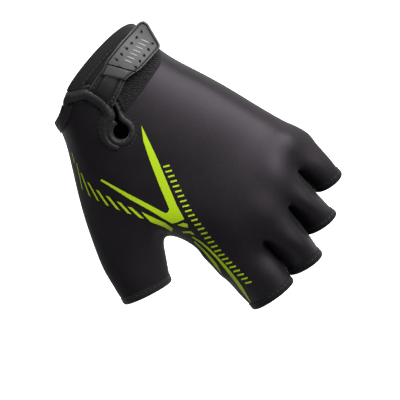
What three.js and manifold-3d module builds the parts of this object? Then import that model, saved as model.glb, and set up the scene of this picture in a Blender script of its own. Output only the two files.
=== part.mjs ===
// A short-finger cycling glove, the left one of a pair, in the shape that it takes when it is worn.
//
// Millimetres. The origin is the middle of the wrist opening. +X runs along the fingers, +Y towards
// the little finger and +Z out of the back.
//
// The glove is a thin stretch-fabric back sewn to a thicker palm, with a bound edge at the wrist and
// at each of the five finger openings. A slit with a round end runs in from the wrist on the back and
// is bound too. A strap starts under the flap beside the slit, crosses it and closes on a pile patch
// under a moulded pull tab.

import * as THREE from "three";
import { mergeVertices } from "three/addons/utils/BufferGeometryUtils.js";
import Module from "manifold-3d";

const wasm = await Module();
wasm.setup();

// Overall sizes.
const bodyLength = 125; // wrist opening to the crotch of the index and middle fingers
const palmWidth = 82; // across the knuckles
const bodyHeight = 40; // the wrist's thickness, which the heights below are shares of

// Fabric.
const backWall = 1;
const palmWall = 1.6;
const seamGap = 0.3; // between back and palm along the seam
const narrowestCorner = 0.2; // sine of half a panel's corner, for the gap's sake
const clearance = 0.3; // between a piece and what it lies on

// Bound edges.
const bindingWall = 0.6;
const hemWidth = 3.2; // a finger opening's binding, seen from outside
const cuffWidth = 6; // the wrist's binding, seen from outside
const eyeletBindingWidth = 2.4; // the binding of the slit's round end, seen from outside
const flapBindingWidth = 4.4; // the binding of the flap beside the slit
const flapRoll = 3.2; // height of that thicker binding over the fabric

// The slit and its round end.
const slitHalfWidth = 1.5;
const eyeletRadius = 5.2;

// Strap, pull tab and pile patch.
const wristYaw = 11.5; // degrees from the wrist's line to the fingers' line
const pileThickness = 1;
const strapThickness = 1;
const strapBend = {
  radius: 0.549 * palmWidth, // of the strap's underside, over the wrist
  y: 0.0305 * palmWidth,
  top: 0.455 * bodyHeight + clearance + pileThickness,
};
const tabBase = 1.2;
const tabRim = 0.6; // the tab's raised border, over its base
const tabRimWidth = 1.3;
const tabRimRoot = 0.1; // how deep the border starts in the base
const perforation = 0.65; // radius
const grooveWidth = 0.7;
const grooveDepth = 0.7;

// Fingers, from index to little. Width and height are outside the fabric at the opening, as shares of
// palmWidth and bodyHeight. Stall is the length from the crotch line to the opening, as a share of
// bodyLength.
const fingerGap = 0.6; // between neighbouring stalls near the crotch
const fingerLean = 0.28; // how far a finger's section leans over, as a share of its height
const stallSections = [
  { along: 0.24, taper: 0.05, lean: 0 },
  { along: 0.6, taper: 0.35, lean: 0.8 },
  { along: 1, taper: 1, lean: 1 },
];
const fingers = [
  { name: "index", width: 0.2829, height: 0.5375, stall: 0.2336, yaw: -3.6, pitch: -12 },
  { name: "middle", width: 0.2244, height: 0.5375, stall: 0.216, yaw: -5.2, pitch: -15 },
  { name: "ring", width: 0.2146, height: 0.4875, stall: 0.2016, yaw: -2.6, pitch: -18 },
  { name: "little", width: 0.1756, height: 0.4375, stall: 0.156, yaw: 1, pitch: -20 },
];

// Sections of the body from the wrist to where the thumb leaves it. Each side's point is given with x
// as a share of bodyLength, y of palmWidth and z of bodyHeight. Rise and drop are the back's height
// and the palm's depth past the line between the sides, as shares of bodyHeight. Fork is the angle
// round the section, in degrees from the little finger's side, of the fold beside the thumb.
const bodySections = [
  { thumb: [0.052, -0.395, -0.05], little: [-0.028, 0.395, -0.05], rise: 0.48, drop: 0.45, fork: 124 },
  { thumb: [0.118, -0.415, -0.08], little: [0.032, 0.402, -0.05], rise: 0.48, drop: 0.48, fork: 124 },
  { thumb: [0.215, -0.494, -0.15], little: [0.155, 0.424, -0.06], rise: 0.5, drop: 0.52, fork: 123 },
  { thumb: [0.32, -0.588, -0.23], little: [0.285, 0.506, -0.08], rise: 0.54, drop: 0.56, fork: 122 },
  { thumb: [0.43, -0.676, -0.3], little: [0.415, 0.577, -0.09], rise: 0.57, drop: 0.56, fork: 120 },
  { thumb: [0.54, -0.748, -0.36], little: [0.55, 0.636, -0.1], rise: 0.58, drop: 0.54, fork: 118 },
  { thumb: [0.645, -0.812, -0.4], little: [0.67, 0.694, -0.11], rise: 0.58, drop: 0.5, fork: 116 },
];

// The crotch between thumb and index finger, in the same shares.
const thumbCrotch = [0.706, -0.35, -0.2];

// Sections of the palm from the thumb's crotch to the fingers. Back is the distance from the fingers'
// crotch line, as a share of bodyLength, and fan says how far the section has taken that line's form.
// Valley is how much the back dips between two fingers.
const palmSections = [
  {
    ...{ thumb: [0.765, -0.3, -0.12], little: [0.752, 0.73, -0.12] },
    ...{ rise: 0.52, drop: 0.38, back: 0.17, fan: 0.6, valley: 0 },
  },
  {
    ...{ thumb: [0.85, -0.264, -0.05], little: [0.808, 0.778, -0.14] },
    ...{ rise: 0.49, drop: 0.31, back: 0.085, fan: 0.95, valley: 0.01 },
  },
  {
    ...{ thumb: [0.925, -0.25, 0], little: [0.845, 0.757, -0.16] },
    ...{ rise: 0.43, drop: 0.28, back: 0, fan: 1, valley: 0.04 },
  },
];

// Where the crotch line meets the edges between fingers, from the index's free side to the little
// finger's, as shares of bodyLength and palmWidth. The back's rows beside its two ends lie a little
// further in, by sideInset of palmWidth.
const sideInset = 0.018;
const crotchLine = [
  { x: 0.93, y: -0.25 },
  { x: 0.995, y: 0.088 },
  { x: 0.955, y: 0.345 },
  { x: 0.86, y: 0.545 },
  { x: 0.83, y: 0.757 },
];

// Sections of the thumb's stall: the centre in the body's shares, and width and height as shares of
// the opening's own, which are shares of palmWidth and bodyHeight.
const thumbOpening = { width: 0.3244, height: 0.5625 };
const thumbSections = [
  { centre: [0.738, -0.624, -0.4], width: 1.2, height: 1.2, yaw: -13, pitch: -8 },
  { centre: [0.785, -0.657, -0.44], width: 1.113, height: 1.08, yaw: -15, pitch: -8 },
  { centre: [0.833, -0.68, -0.47], width: 1, height: 1, yaw: -15, pitch: -8 },
];

// Dents and rises of the worn fabric: a line from one point to another in the body's shares, its
// reach in shares of palmWidth, and its height in millimetres, below zero for a dent.
const folds = [
  { from: [0.86, -0.06, 0.5], to: [0.88, -0.03, 0.5], reach: 0.13, height: 1.1 },
  { from: [0.9, 0.21, 0.5], to: [0.91, 0.22, 0.5], reach: 0.12, height: 1.2 },
  { from: [0.83, 0.44, 0.4], to: [0.84, 0.44, 0.4], reach: 0.11, height: 1 },
  { from: [0.76, 0.66, 0.25], to: [0.77, 0.66, 0.25], reach: 0.1, height: 0.9 },
  { from: [0.6, -0.42, 0.05], to: [0.69, -0.37, 0.05], reach: 0.035, height: -0.9 },
];

// The wrist's edge reaches further back on the little finger's side of the slit: how far, as a share
// of bodyLength, and between which places across the section it grows to that.
const cuffRake = { reach: 0.053, from: 0.02, to: 0.26 };

// The slit's line, seen from above in the wrist's own frame: x along the wrist and y across it, as
// shares of strapReach. The last point is the middle of the round end.
const strapReach = 36;
const slitLine = [
  { x: -0.3, y: -0.62 },
  { x: -0.04, y: -0.44 },
  { x: 0.13, y: -0.235 },
  { x: 0.32, y: -0.185 },
  { x: 0.52, y: -0.225 },
  { x: 0.67, y: -0.315 },
  { x: 0.84, y: -0.455 },
];

// Outlines seen from above, in the wrist's own frame and as shares of strapReach.
const tabOutline = [
  [0.115, 0.03], [0.055, 0.25], [0.07, 0.57], [0.105, 0.97], [0.14, 1.03], [0.215, 1.04],
  [0.54, 0.9], [0.575, 0.855], [0.565, 0.67], [0.54, 0.43], [0.475, 0.25], [0.46, 0.175],
];
const strapOutline = [
  [0.115, -0.5], [0.095, -0.02], [0.08, 0.25], [0.1, 0.57], [0.14, 0.9],
  [0.5, 0.8], [0.53, 0.67], [0.515, 0.43], [0.455, 0.23], [0.48, 0.09], [0.52, -0.12], [0.56, -0.5],
];
const patchOutline = [
  [0.17, -0.4], [0.165, 0.8], [0.6, 0.83], [0.7, 0.68], [0.7, -0.05], [0.62, -0.4],
];

// Two rows of perforations, and the two grooves across the tab, each from one end to the other.
const perforationRows = [
  { from: [0.215, 0.86], to: [0.185, 0.335], count: 6 },
  { from: [0.45, 0.84], to: [0.465, 0.415], count: 5 },
];
const grooves = [
  { from: [0.1, 0.205], to: [0.5, 0.36] },
  { from: [0.1, 0.1], to: [0.46, 0.24] },
];

// How evenly full the body's sections are: a smaller power makes flatter tops and steeper sides.
const fullness = 0.44;

// The bend of the strap and the tab, in radians round its axis from straight up.
const bendSpan = { from: -0.62, to: 1.05, steps: 14 };

// The slit's layers are cut from the back as far along as this share of bodyLength.
const slitReach = 0.5;
const roundEndSides = 20;

const radians = THREE.MathUtils.degToRad;
const lerp = THREE.MathUtils.lerp;
const vec = (x, y, z) => new THREE.Vector3(x, y, z);
const fromShares = ([x, y, z]) => vec(x * bodyLength, y * palmWidth, z * bodyHeight);

// A ring of 8 or 10 points makes a surface that lies inside them. This factor brings it out to size.
const ringFit = (count) => 1 / (0.5 + 0.5 * Math.cos(Math.PI / count) ** 2 * Math.cos(Math.PI / count));

// The cage: named points joined by four-sided faces, each belonging to the back or the palm.
const cage = { points: [], faces: [] };
const BACK = 0;
const PALM = 1;

function addPoint(point) {
  cage.points.push(point);
  return cage.points.length - 1;
}

// Joins two rings that list their points alike. The faces of a ring's under side are the palm's.
function joinRings(near, far, palmFaces) {
  near.forEach((a, k) => {
    const next = (k + 1) % near.length;
    cage.faces.push({
      corners: [a, far[k], far[next], near[next]],
      panel: palmFaces.includes(k) ? PALM : BACK,
    });
  });
}

const range = (from, to) => Array.from({ length: to - from + 1 }, (_, i) => from + i);

// The body's rings hold one point on the thumb's side, 12 over the back, one on the little finger's
// side and 12 under the palm. The first four columns belong to the thumb.
const COLUMNS = 12;
const THUMB_COLUMNS = 4;

// The height of a section over, or depth under, the line between its sides.
const dome = (share) => Math.max(0, 1 - (2 * share - 1) ** 2) ** fullness;

function bodyRing(section, index) {
  const thumb = fromShares(section.thumb);
  const little = fromShares(section.little);
  const angles = range(1, COLUMNS).map((column) =>
    column <= THUMB_COLUMNS
      ? lerp(180, section.fork, column / THUMB_COLUMNS)
      : lerp(section.fork, 0, (column - THUMB_COLUMNS) / (COLUMNS + 1 - THUMB_COLUMNS)),
  );
  const at = (angle, height) => {
    const share = (1 + Math.cos(radians(angle))) / 2;
    const point = thumb.clone().lerp(little, share);
    point.z += height * bodyHeight * dome(share);
    if (index === 0 && height > 0) {
      const grown = THREE.MathUtils.smoothstep(share, cuffRake.from, cuffRake.to);
      point.x -= cuffRake.reach * bodyLength * grown * dome(share);
    }
    return addPoint(point);
  };
  const left = addPoint(thumb);
  const top = angles.map((angle) => at(angle, section.rise));
  const right = addPoint(little);
  const bottom = angles.map((angle) => at(angle, -section.drop));
  return { left, top, right, bottom };
}

// Column 3 of the back and the ones after it, on the fingers' crotch line or between two of its points.
const FINGER_COLUMNS = 9;
function crotchPoint(column) {
  const a = crotchLine[Math.floor(column / 2)];
  const b = crotchLine[Math.ceil(column / 2)];
  return { x: (a.x + b.x) / 2, y: (a.y + b.y) / 2 };
}

function palmRing(section) {
  const thumb = fromShares(section.thumb);
  const little = fromShares(section.little);
  const at = (column, height) => {
    const angle = radians(180 - (180 * (column + 1)) / (FINGER_COLUMNS + 1));
    const line = crotchPoint(column);
    const evenShare = (1 + Math.cos(angle)) / 2;
    const side = column === 0 ? sideInset : column === FINGER_COLUMNS - 1 ? -sideInset : 0;
    const width = little.y - thumb.y;
    const lineShare = ((line.y + side) * palmWidth - thumb.y) / width;
    const share = lerp(evenShare, lineShare, section.fan);
    const point = thumb.clone().lerp(little, share);
    point.x = lerp(point.x, (line.x - section.back) * bodyLength, section.fan);
    const between = column % 2 === 0 && column > 0 && column < FINGER_COLUMNS - 1;
    const dip = between ? Math.sign(height) * section.valley * bodyHeight : 0;
    point.z += height * bodyHeight * dome(share) - dip;
    return addPoint(point);
  };
  const left = addPoint(thumb);
  const top = range(0, FINGER_COLUMNS - 1).map((column) => at(column, section.rise));
  const right = addPoint(little);
  const bottom = range(0, FINGER_COLUMNS - 1).map((column) => at(column, -section.drop));
  return { left, top, right, bottom };
}

const closedRing = ({ left, top, right, bottom }) => [left, ...top, right, ...[...bottom].reverse()];

// A ring of points round a finger, from the thumb's side over the top.
function stallRing(centre, { yaw, pitch }, width, height, lean, count) {
  const along = vec(
    Math.cos(radians(pitch)) * Math.cos(radians(yaw)),
    Math.cos(radians(pitch)) * Math.sin(radians(yaw)),
    Math.sin(radians(pitch)),
  );
  const across = vec(-Math.sin(radians(yaw)), Math.cos(radians(yaw)), 0);
  const up = along.clone().cross(across);
  const fit = ringFit(count);
  return range(0, count - 1).map((k) => {
    const angle = Math.PI - (2 * Math.PI * k) / count;
    return addPoint(
      centre
        .clone()
        .addScaledVector(across, (width / 2) * fit * (Math.cos(angle) + lean * Math.sin(angle)))
        .addScaledVector(up, (height / 2) * fit * Math.sin(angle)),
    );
  });
}

function addThumb(forkRing, crotch) {
  const { left, top, bottom } = forkRing;
  const root = [left, ...top.slice(0, 4), crotch, ...bottom.slice(0, 4).reverse()];
  const rings = thumbSections.map((section) =>
    stallRing(
      fromShares(section.centre),
      section,
      section.width * thumbOpening.width * palmWidth,
      section.height * thumbOpening.height * bodyHeight,
      0,
      root.length,
    ),
  );
  [root, ...rings].reduce((near, far) => {
    joinRings(near, far, range(6, 8));
    return far;
  });
}

const middleOf = (indices) =>
  indices
    .reduce((sum, i) => sum.add(cage.points[i]), vec(0, 0, 0))
    .divideScalar(indices.length);

// A finger leaves the crotch ring between two of its edges. The crotch itself is shared by neighbours.
function addFinger(finger, root, rootWidth, rootHeight) {
  const centre = middleOf(root);
  const direction = vec(
    Math.cos(radians(finger.pitch)) * Math.cos(radians(finger.yaw)),
    Math.cos(radians(finger.pitch)) * Math.sin(radians(finger.yaw)),
    Math.sin(radians(finger.pitch)),
  );
  const rings = stallSections.map(({ along, taper, lean }) =>
    stallRing(
      centre.clone().addScaledVector(direction, along * finger.stall * bodyLength),
      finger,
      lerp(rootWidth, finger.width * palmWidth, taper),
      lerp(rootHeight, finger.height * bodyHeight, taper),
      lean * fingerLean,
      root.length,
    ),
  );
  [root, ...rings].reduce((near, far) => {
    joinRings(near, far, [5, 6]);
    return far;
  });
  finger.tip = middleOf(rings.at(-1));
}

function buildCage() {
  const body = bodySections.map(bodyRing);
  body.reduce((near, far) => {
    joinRings(closedRing(near), closedRing(far), range(COLUMNS + 2, 2 * COLUMNS));
    return far;
  });
  const fork = body.at(-1);
  const crotch = addPoint(fromShares(thumbCrotch));
  addThumb(fork, crotch);

  const forkPalm = {
    left: crotch,
    top: fork.top.slice(THUMB_COLUMNS - 1),
    right: fork.right,
    bottom: fork.bottom.slice(THUMB_COLUMNS - 1),
  };
  const palm = palmSections.map(palmRing);
  [forkPalm, ...palm].reduce((near, far) => {
    joinRings(closedRing(near), closedRing(far), range(FINGER_COLUMNS + 2, 2 * FINGER_COLUMNS));
    return far;
  });

  const line = palm.at(-1);
  const webs = [1, 2, 3].map((k) => {
    const point = middleOf([line.top[2 * k], line.bottom[2 * k]]);
    return addPoint(point);
  });
  const sides = [line.left, ...webs, line.right];
  fingers.forEach((finger, k) => {
    const root = [
      sides[k],
      line.top[2 * k],
      line.top[2 * k + 1],
      line.top[2 * k + 2],
      sides[k + 1],
      line.bottom[2 * k + 2],
      line.bottom[2 * k + 1],
      line.bottom[2 * k],
    ];
    const rootWidth = (crotchLine[k + 1].y - crotchLine[k].y) * palmWidth - fingerGap;
    const rootHeight = cage.points[line.top[2 * k + 1]].z - cage.points[line.bottom[2 * k + 1]].z;
    addFinger(finger, root, rootWidth, rootHeight);
  });
}

// Rounds a mesh of four-sided faces off by one step of Catmull and Clark's rule.
function subdivide(mesh) {
  const points = mesh.points.map((p) => p.clone());
  const edges = new Map();
  const touching = mesh.points.map(() => ({ faces: [], edges: [] }));
  const facePoints = mesh.faces.map(({ corners }) => {
    const middle = corners.reduce((sum, c) => sum.add(mesh.points[c]), vec(0, 0, 0)).divideScalar(4);
    points.push(middle);
    return points.length - 1;
  });
  mesh.faces.forEach(({ corners }, f) =>
    corners.forEach((a, k) => {
      const b = corners[(k + 1) % 4];
      const key = Math.min(a, b) + "-" + Math.max(a, b);
      if (!edges.has(key)) {
        const edge = { a, b, faces: [] };
        edges.set(key, edge);
        touching[a].edges.push(edge);
        touching[b].edges.push(edge);
      }
      edges.get(key).faces.push(f);
      touching[a].faces.push(f);
    }),
  );
  for (const edge of edges.values()) {
    const sum = mesh.points[edge.a].clone().add(mesh.points[edge.b]);
    if (edge.faces.length === 2) {
      edge.faces.forEach((f) => sum.add(points[facePoints[f]]));
      sum.divideScalar(4);
    } else sum.divideScalar(2);
    points.push(sum);
    edge.point = points.length - 1;
  }
  touching.forEach((around, i) => {
    const old = mesh.points[i];
    const rim = around.edges.filter((edge) => edge.faces.length === 1);
    const next = vec(0, 0, 0);
    if (rim.length === 2) {
      rim.forEach(({ a, b }) => next.addScaledVector(mesh.points[a === i ? b : a], 1 / 8));
      next.addScaledVector(old, 3 / 4);
    } else {
      const n = around.faces.length;
      around.faces.forEach((f) => next.addScaledVector(points[facePoints[f]], 1 / (n * n)));
      around.edges.forEach(({ a, b }) => {
        const middle = mesh.points[a].clone().add(mesh.points[b]).divideScalar(2);
        next.addScaledVector(middle, 2 / (n * n));
      });
      next.addScaledVector(old, (n - 3) / n);
    }
    points[i] = next;
  });
  const edgePoint = (a, b) => edges.get(Math.min(a, b) + "-" + Math.max(a, b)).point;
  const faces = mesh.faces.flatMap(({ corners, panel }, f) =>
    corners.map((corner, k) => ({
      corners: [
        corner,
        edgePoint(corner, corners[(k + 1) % 4]),
        facePoints[f],
        edgePoint(corners[(k + 3) % 4], corner),
      ],
      panel,
    })),
  );
  return { points, faces };
}

function faceNormal(mesh, { corners }) {
  const [a, b, c, d] = corners.map((i) => mesh.points[i]);
  return c.clone().sub(a).cross(d.clone().sub(b));
}

function pointNormals(mesh) {
  const normals = mesh.points.map(() => vec(0, 0, 0));
  for (const face of mesh.faces) {
    const normal = faceNormal(mesh, face);
    face.corners.forEach((i) => normals[i].add(normal));
  }
  return normals.map((normal) => normal.normalize());
}

// Moves each point along its normal by what the folds near it say.
function addFolds(mesh) {
  const normals = pointNormals(mesh);
  mesh.points.forEach((point, i) => {
    const shift = folds.reduce((sum, fold) => {
      const line = new THREE.Line3(fromShares(fold.from), fromShares(fold.to));
      const nearest = line.closestPointToPoint(point, true, vec(0, 0, 0));
      const distance = nearest.distanceTo(point) / (fold.reach * palmWidth);
      return sum + fold.height * Math.exp(-(distance ** 2));
    }, 0);
    point.addScaledVector(normals[i], shift);
  });
}

// The points where a panel's faces end, each with the next one along the edge.
function edgeOf(faces) {
  const next = new Map();
  const seen = new Set();
  for (const { corners } of faces)
    corners.forEach((a, k) => seen.add(a + "-" + corners[(k + 1) % 4]));
  for (const { corners } of faces)
    corners.forEach((a, k) => {
      const b = corners[(k + 1) % 4];
      if (!seen.has(b + "-" + a)) next.set(a, b);
    });
  return next;
}

// How far and which way each point on a panel's seam moves, so that the panel ends half a gap short
// of its neighbour. A point in a narrow corner moves further.
function seamShifts(mesh, faces, gap) {
  const rim = edgeOf(mesh.faces);
  const edge = edgeOf(faces);
  const shifts = new Map();
  if (gap === 0) return shifts;
  for (const { corners } of faces)
    for (const a of corners)
      if (edge.has(a) && rim.get(a) !== edge.get(a)) {
        if (!shifts.has(a)) shifts.set(a, vec(0, 0, 0));
        for (const b of corners)
          if (!edge.has(b)) shifts.get(a).add(mesh.points[b].clone().sub(mesh.points[a]));
      }
  for (const [a, shift] of shifts) {
    const along = mesh.points[edge.get(a)].clone().sub(mesh.points[a]).normalize();
    shift.normalize();
    const across = Math.max(shift.clone().cross(along).length(), narrowestCorner);
    shift.multiplyScalar(gap / 2 / across);
  }
  return shifts;
}

// A closed wall over some of the mesh's faces, between two distances from its surface.
function wallSolid(mesh, normals, faces, low, high, gap) {
  const edge = edgeOf(faces);
  const shifts = seamShifts(mesh, faces, gap);
  const place = new Map();
  const positions = [];
  const used = [...new Set(faces.flatMap(({ corners }) => corners))];
  used.forEach((i, k) => {
    place.set(i, k);
    const base = mesh.points[i].clone();
    if (shifts.has(i)) base.add(shifts.get(i));
    const outer = base.clone().addScaledVector(normals[i], high);
    const inner = base.addScaledVector(normals[i], low);
    positions.push(outer, inner);
  });
  const out = (i) => 2 * place.get(i);
  const under = (i) => 2 * place.get(i) + 1;
  const triangles = [];
  for (const { corners } of faces) {
    const [a, b, c, d] = corners;
    triangles.push([out(a), out(b), out(c)], [out(a), out(c), out(d)]);
    triangles.push([under(c), under(b), under(a)], [under(d), under(c), under(a)]);
  }
  for (const [a, b] of edge)
    triangles.push([out(b), out(a), under(a)], [out(b), under(a), under(b)]);
  return solidOf(positions, triangles);
}

function solidOf(positions, triangles) {
  const vertProperties = new Float32Array(positions.flatMap((p) => p.toArray()));
  const triVerts = new Uint32Array(triangles.flat());
  return new wasm.Manifold(new wasm.Mesh({ numProp: 3, vertProperties, triVerts }));
}

function solidFrom(geometry) {
  const bare = new THREE.BufferGeometry();
  bare.setAttribute("position", geometry.getAttribute("position"));
  if (geometry.index) bare.setIndex(geometry.index);
  const merged = mergeVertices(bare, 1e-4);
  return new wasm.Manifold(
    new wasm.Mesh({
      numProp: 3,
      vertProperties: merged.attributes.position.array,
      triVerts: new Uint32Array(merged.index.array),
    }),
  );
}

// The points of one rim of the mesh in order, and for each the way out of the opening.
function rimLoop(mesh, start) {
  const rim = edgeOf(mesh.faces);
  const loop = [start];
  while (rim.get(loop.at(-1)) !== start) loop.push(rim.get(loop.at(-1)));
  const onRim = new Set(loop);
  const away = new Map();
  for (const { corners } of mesh.faces)
    corners.forEach((a, k) => {
      const b = corners[(k + 1) % 4];
      const way = mesh.points[a].clone().sub(mesh.points[b]).normalize();
      if (onRim.has(a) && !onRim.has(b)) away.set(a, way);
      if (onRim.has(b) && !onRim.has(a)) away.set(b, way.negate());
    });
  return { loop, away };
}

// The mesh with one more row of faces past a rim.
function lengthened(mesh, normals, start, length) {
  const { loop, away } = rimLoop(mesh, start);
  const first = mesh.points.length;
  const added = loop.map((i) => mesh.points[i].clone().addScaledVector(away.get(i), length));
  const row = loop.map((i, k) => {
    const next = (k + 1) % loop.length;
    return { corners: [loop[next], i, first + k, first + next], panel: BACK };
  });
  return {
    mesh: { points: [...mesh.points, ...added], faces: [...mesh.faces, ...row] },
    normals: [...normals, ...loop.map((i) => normals[i])],
  };
}

// The sections of the bindings at the openings, along the fabric from its edge and over its face. The
// wrist's is folded round the edge. A finger's covers the outside and the edge.
const reach = clearance + bindingWall;
const foldedSection = [
  [-cuffWidth, clearance],
  [-cuffWidth, reach],
  [reach, reach],
  [reach, -palmWall - reach],
  [-cuffWidth, -palmWall - reach],
  [-cuffWidth, -palmWall - clearance],
  [clearance, -palmWall - clearance],
  [clearance, clearance],
];
const hemSection = [
  [-hemWidth, clearance],
  [-hemWidth, reach],
  [reach, reach],
  [reach, -palmWall],
  [clearance, -palmWall],
  [clearance, clearance],
];

// A binding swept along one rim of the mesh.
function rimBinding(mesh, normals, start, section) {
  const { loop, away } = rimLoop(mesh, start);
  const positions = loop.flatMap((i) =>
    section.map(([along, over]) =>
      mesh.points[i].clone().addScaledVector(away.get(i), along).addScaledVector(normals[i], over),
    ),
  );
  const triangles = [];
  const size = section.length;
  loop.forEach((_, ring) => {
    const here = ring * size;
    const there = ((ring + 1) % loop.length) * size;
    range(0, size - 1).forEach((k) => {
      const next = (k + 1) % size;
      triangles.push([here + k, there + next, there + k], [here + k, here + next, there + next]);
    });
  });
  return solidOf(positions, triangles);
}

// Shapes seen from above in the wrist's own frame, cut straight through the glove's height.
const BELOW = -2 * bodyHeight;
const ABOVE = 2 * bodyHeight;

function column(points, low = BELOW, high = ABOVE) {
  const shape = new THREE.Shape(points.map(([x, y]) => new THREE.Vector2(x, y)));
  const geometry = new THREE.ExtrudeGeometry(shape, { depth: high - low, bevelEnabled: false });
  geometry.translate(0, 0, low);
  geometry.rotateZ(radians(wristYaw));
  return solidFrom(geometry);
}

const outlineAt = (outline, grow = 0) => {
  const points = outline.map(([x, y]) => new THREE.Vector2(x, y).multiplyScalar(strapReach));
  const turn = THREE.ShapeUtils.isClockWise(points) ? -1 : 1;
  return points.map((point, k) => {
    const before = points[(k + points.length - 1) % points.length];
    const after = points[(k + 1) % points.length];
    const a = point.clone().sub(before).normalize();
    const b = after.clone().sub(point).normalize();
    const side = new THREE.Vector2(a.y + b.y, -a.x - b.x);
    side.multiplyScalar((2 * grow * turn) / side.lengthSq());
    return [point.x + side.x, point.y + side.y];
  });
};

const slitCurve = new THREE.CatmullRomCurve3(
  slitLine.map(({ x, y }) => vec(x * strapReach, y * strapReach, 0)),
);
const SLIT_STEPS = 14;
const slitSteps = range(0, SLIT_STEPS).map((k) => {
  const point = slitCurve.getPoint(k / SLIT_STEPS);
  const tangent = slitCurve.getTangent(k / SLIT_STEPS);
  return { point, side: vec(-tangent.y, tangent.x, 0) };
});
const slitSide = (offset) =>
  slitSteps.map(({ point, side }) => {
    const moved = point.clone().addScaledVector(side, offset);
    return [moved.x, moved.y];
  });

// The slit's round end and the slit with it, made larger or smaller by a distance.
function roundEnd(grow) {
  const centre = slitSteps.at(-1).point;
  const circle = range(0, roundEndSides - 1).map((k) => {
    const angle = (2 * Math.PI * k) / roundEndSides;
    const radius = eyeletRadius + grow;
    return [centre.x + radius * Math.cos(angle), centre.y + radius * Math.sin(angle)];
  });
  return column(circle);
}

const alongSlit = (low, high) => column([...slitSide(high), ...slitSide(low).reverse()]);

function keyhole(grow) {
  const half = slitHalfWidth + grow;
  return alongSlit(-half, half).add(roundEnd(grow));
}

// Everything above the glove's middle, so that a cut leaves the palm alone.
const span = 2 * bodyLength;
const aboveMiddle = column([[-span, -span], [span, -span], [span, span], [-span, span]], 0);

// Everything on the thumb's side of the slit's line, which is carried on past the round end.
function thumbSideOfSlit(offset) {
  const line = slitSide(offset);
  const [lastX, lastY] = line.at(-1);
  const [beforeX, beforeY] = line.at(-2);
  const far = bodyLength / Math.hypot(lastX - beforeX, lastY - beforeY);
  const end = [lastX + (lastX - beforeX) * far, lastY + (lastY - beforeY) * far];
  const start = line[0][0] - bodyLength;
  const away = -2 * palmWidth;
  return column([...line, end, [end[0], away], [start, away], [start, line[0][1]]]);
}

// A band bent over the wrist, with its axis along it.
function bentBand(low, high) {
  const radiusLow = strapBend.radius + low;
  const radiusHigh = strapBend.radius + high;
  const { from, to, steps } = bendSpan;
  const angles = range(0, steps).map((k) => lerp(from, to, k / steps));
  const arc = (radius) =>
    angles.map((a) => new THREE.Vector2(radius * Math.sin(a), radius * Math.cos(a)));
  const shape = new THREE.Shape([...arc(radiusLow), ...arc(radiusHigh).reverse()]);
  const geometry = new THREE.ExtrudeGeometry(shape, { depth: 2 * strapReach, bevelEnabled: false });
  const basis = new THREE.Matrix4().makeBasis(vec(0, 1, 0), vec(0, 0, 1), vec(1, 0, 0));
  geometry.applyMatrix4(basis);
  geometry.translate(-strapReach / 2, strapBend.y, strapBend.top - strapBend.radius);
  geometry.rotateZ(radians(wristYaw));
  return solidFrom(geometry);
}

function tabSolid(base) {
  const outline = column(outlineAt(tabOutline));
  const inside = column(outlineAt(tabOutline, -tabRimWidth));
  const plate = bentBand(base, base + tabBase).intersect(outline);
  const border = bentBand(base + tabBase - tabRimRoot, base + tabBase + tabRim);
  const rim = border.intersect(outline.subtract(inside));
  let tab = plate.add(rim);
  for (const { from, to, count } of perforationRows)
    for (const k of range(0, count - 1)) {
      const x = lerp(from[0], to[0], k / (count - 1)) * strapReach;
      const y = lerp(from[1], to[1], k / (count - 1)) * strapReach;
      const corners = range(0, 5).map((c) => {
        const angle = (Math.PI * c) / 3;
        return [x + perforation * Math.cos(angle), y + perforation * Math.sin(angle)];
      });
      tab = tab.subtract(column(corners));
    }
  for (const { from, to } of grooves) {
    const a = new THREE.Vector2(...from).multiplyScalar(strapReach);
    const b = new THREE.Vector2(...to).multiplyScalar(strapReach);
    const side = b.clone().sub(a).normalize().multiplyScalar(grooveWidth / 2);
    const corners = [
      [a.x - side.y, a.y + side.x],
      [b.x - side.y, b.y + side.x],
      [b.x + side.y, b.y - side.x],
      [a.x + side.y, a.y - side.x],
    ].reverse();
    const depth = bentBand(base + tabBase - grooveDepth, base + tabBase + 2 * tabRim);
    tab = tab.subtract(column(corners).intersect(depth));
  }
  return tab;
}

const colours = {
  back: new THREE.Color("#25242a"),
  palm: new THREE.Color("#1c1c1e"),
  binding: new THREE.Color("#17181c"),
  strap: new THREE.Color("#1d1d1f"),
  tab: new THREE.Color("#5b5c61"),
  pile: new THREE.Color("#101012"),
};

const glove = new THREE.Group();

function addNode(name, solid, colour, roughness) {
  const mesh = solid.getMesh();
  const geometry = new THREE.BufferGeometry();
  geometry.setAttribute("position", new THREE.BufferAttribute(new Float32Array(mesh.vertProperties), 3));
  geometry.setIndex(new THREE.BufferAttribute(new Uint32Array(mesh.triVerts), 1));
  geometry.computeVertexNormals();
  const material = new THREE.MeshStandardMaterial({ color: colour, roughness, metalness: 0 });
  const node = new THREE.Mesh(geometry, material);
  node.name = name;
  glove.add(node);
}

buildCage();
const surface = subdivide(cage);
addFolds(surface);
const normals = pointNormals(surface);
const facesOf = (panel) => surface.faces.filter((face) => face.panel === panel);

// The openings' rims are found by the point of theirs that is nearest to a place.
const rimStarts = [...edgeOf(surface.faces).keys()];
const rimNear = (target) =>
  rimStarts.reduce((best, i) =>
    surface.points[i].distanceTo(target) < surface.points[best].distanceTo(target) ? i : best,
  );
const wristRim = rimNear(fromShares(bodySections[0].little));

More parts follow.
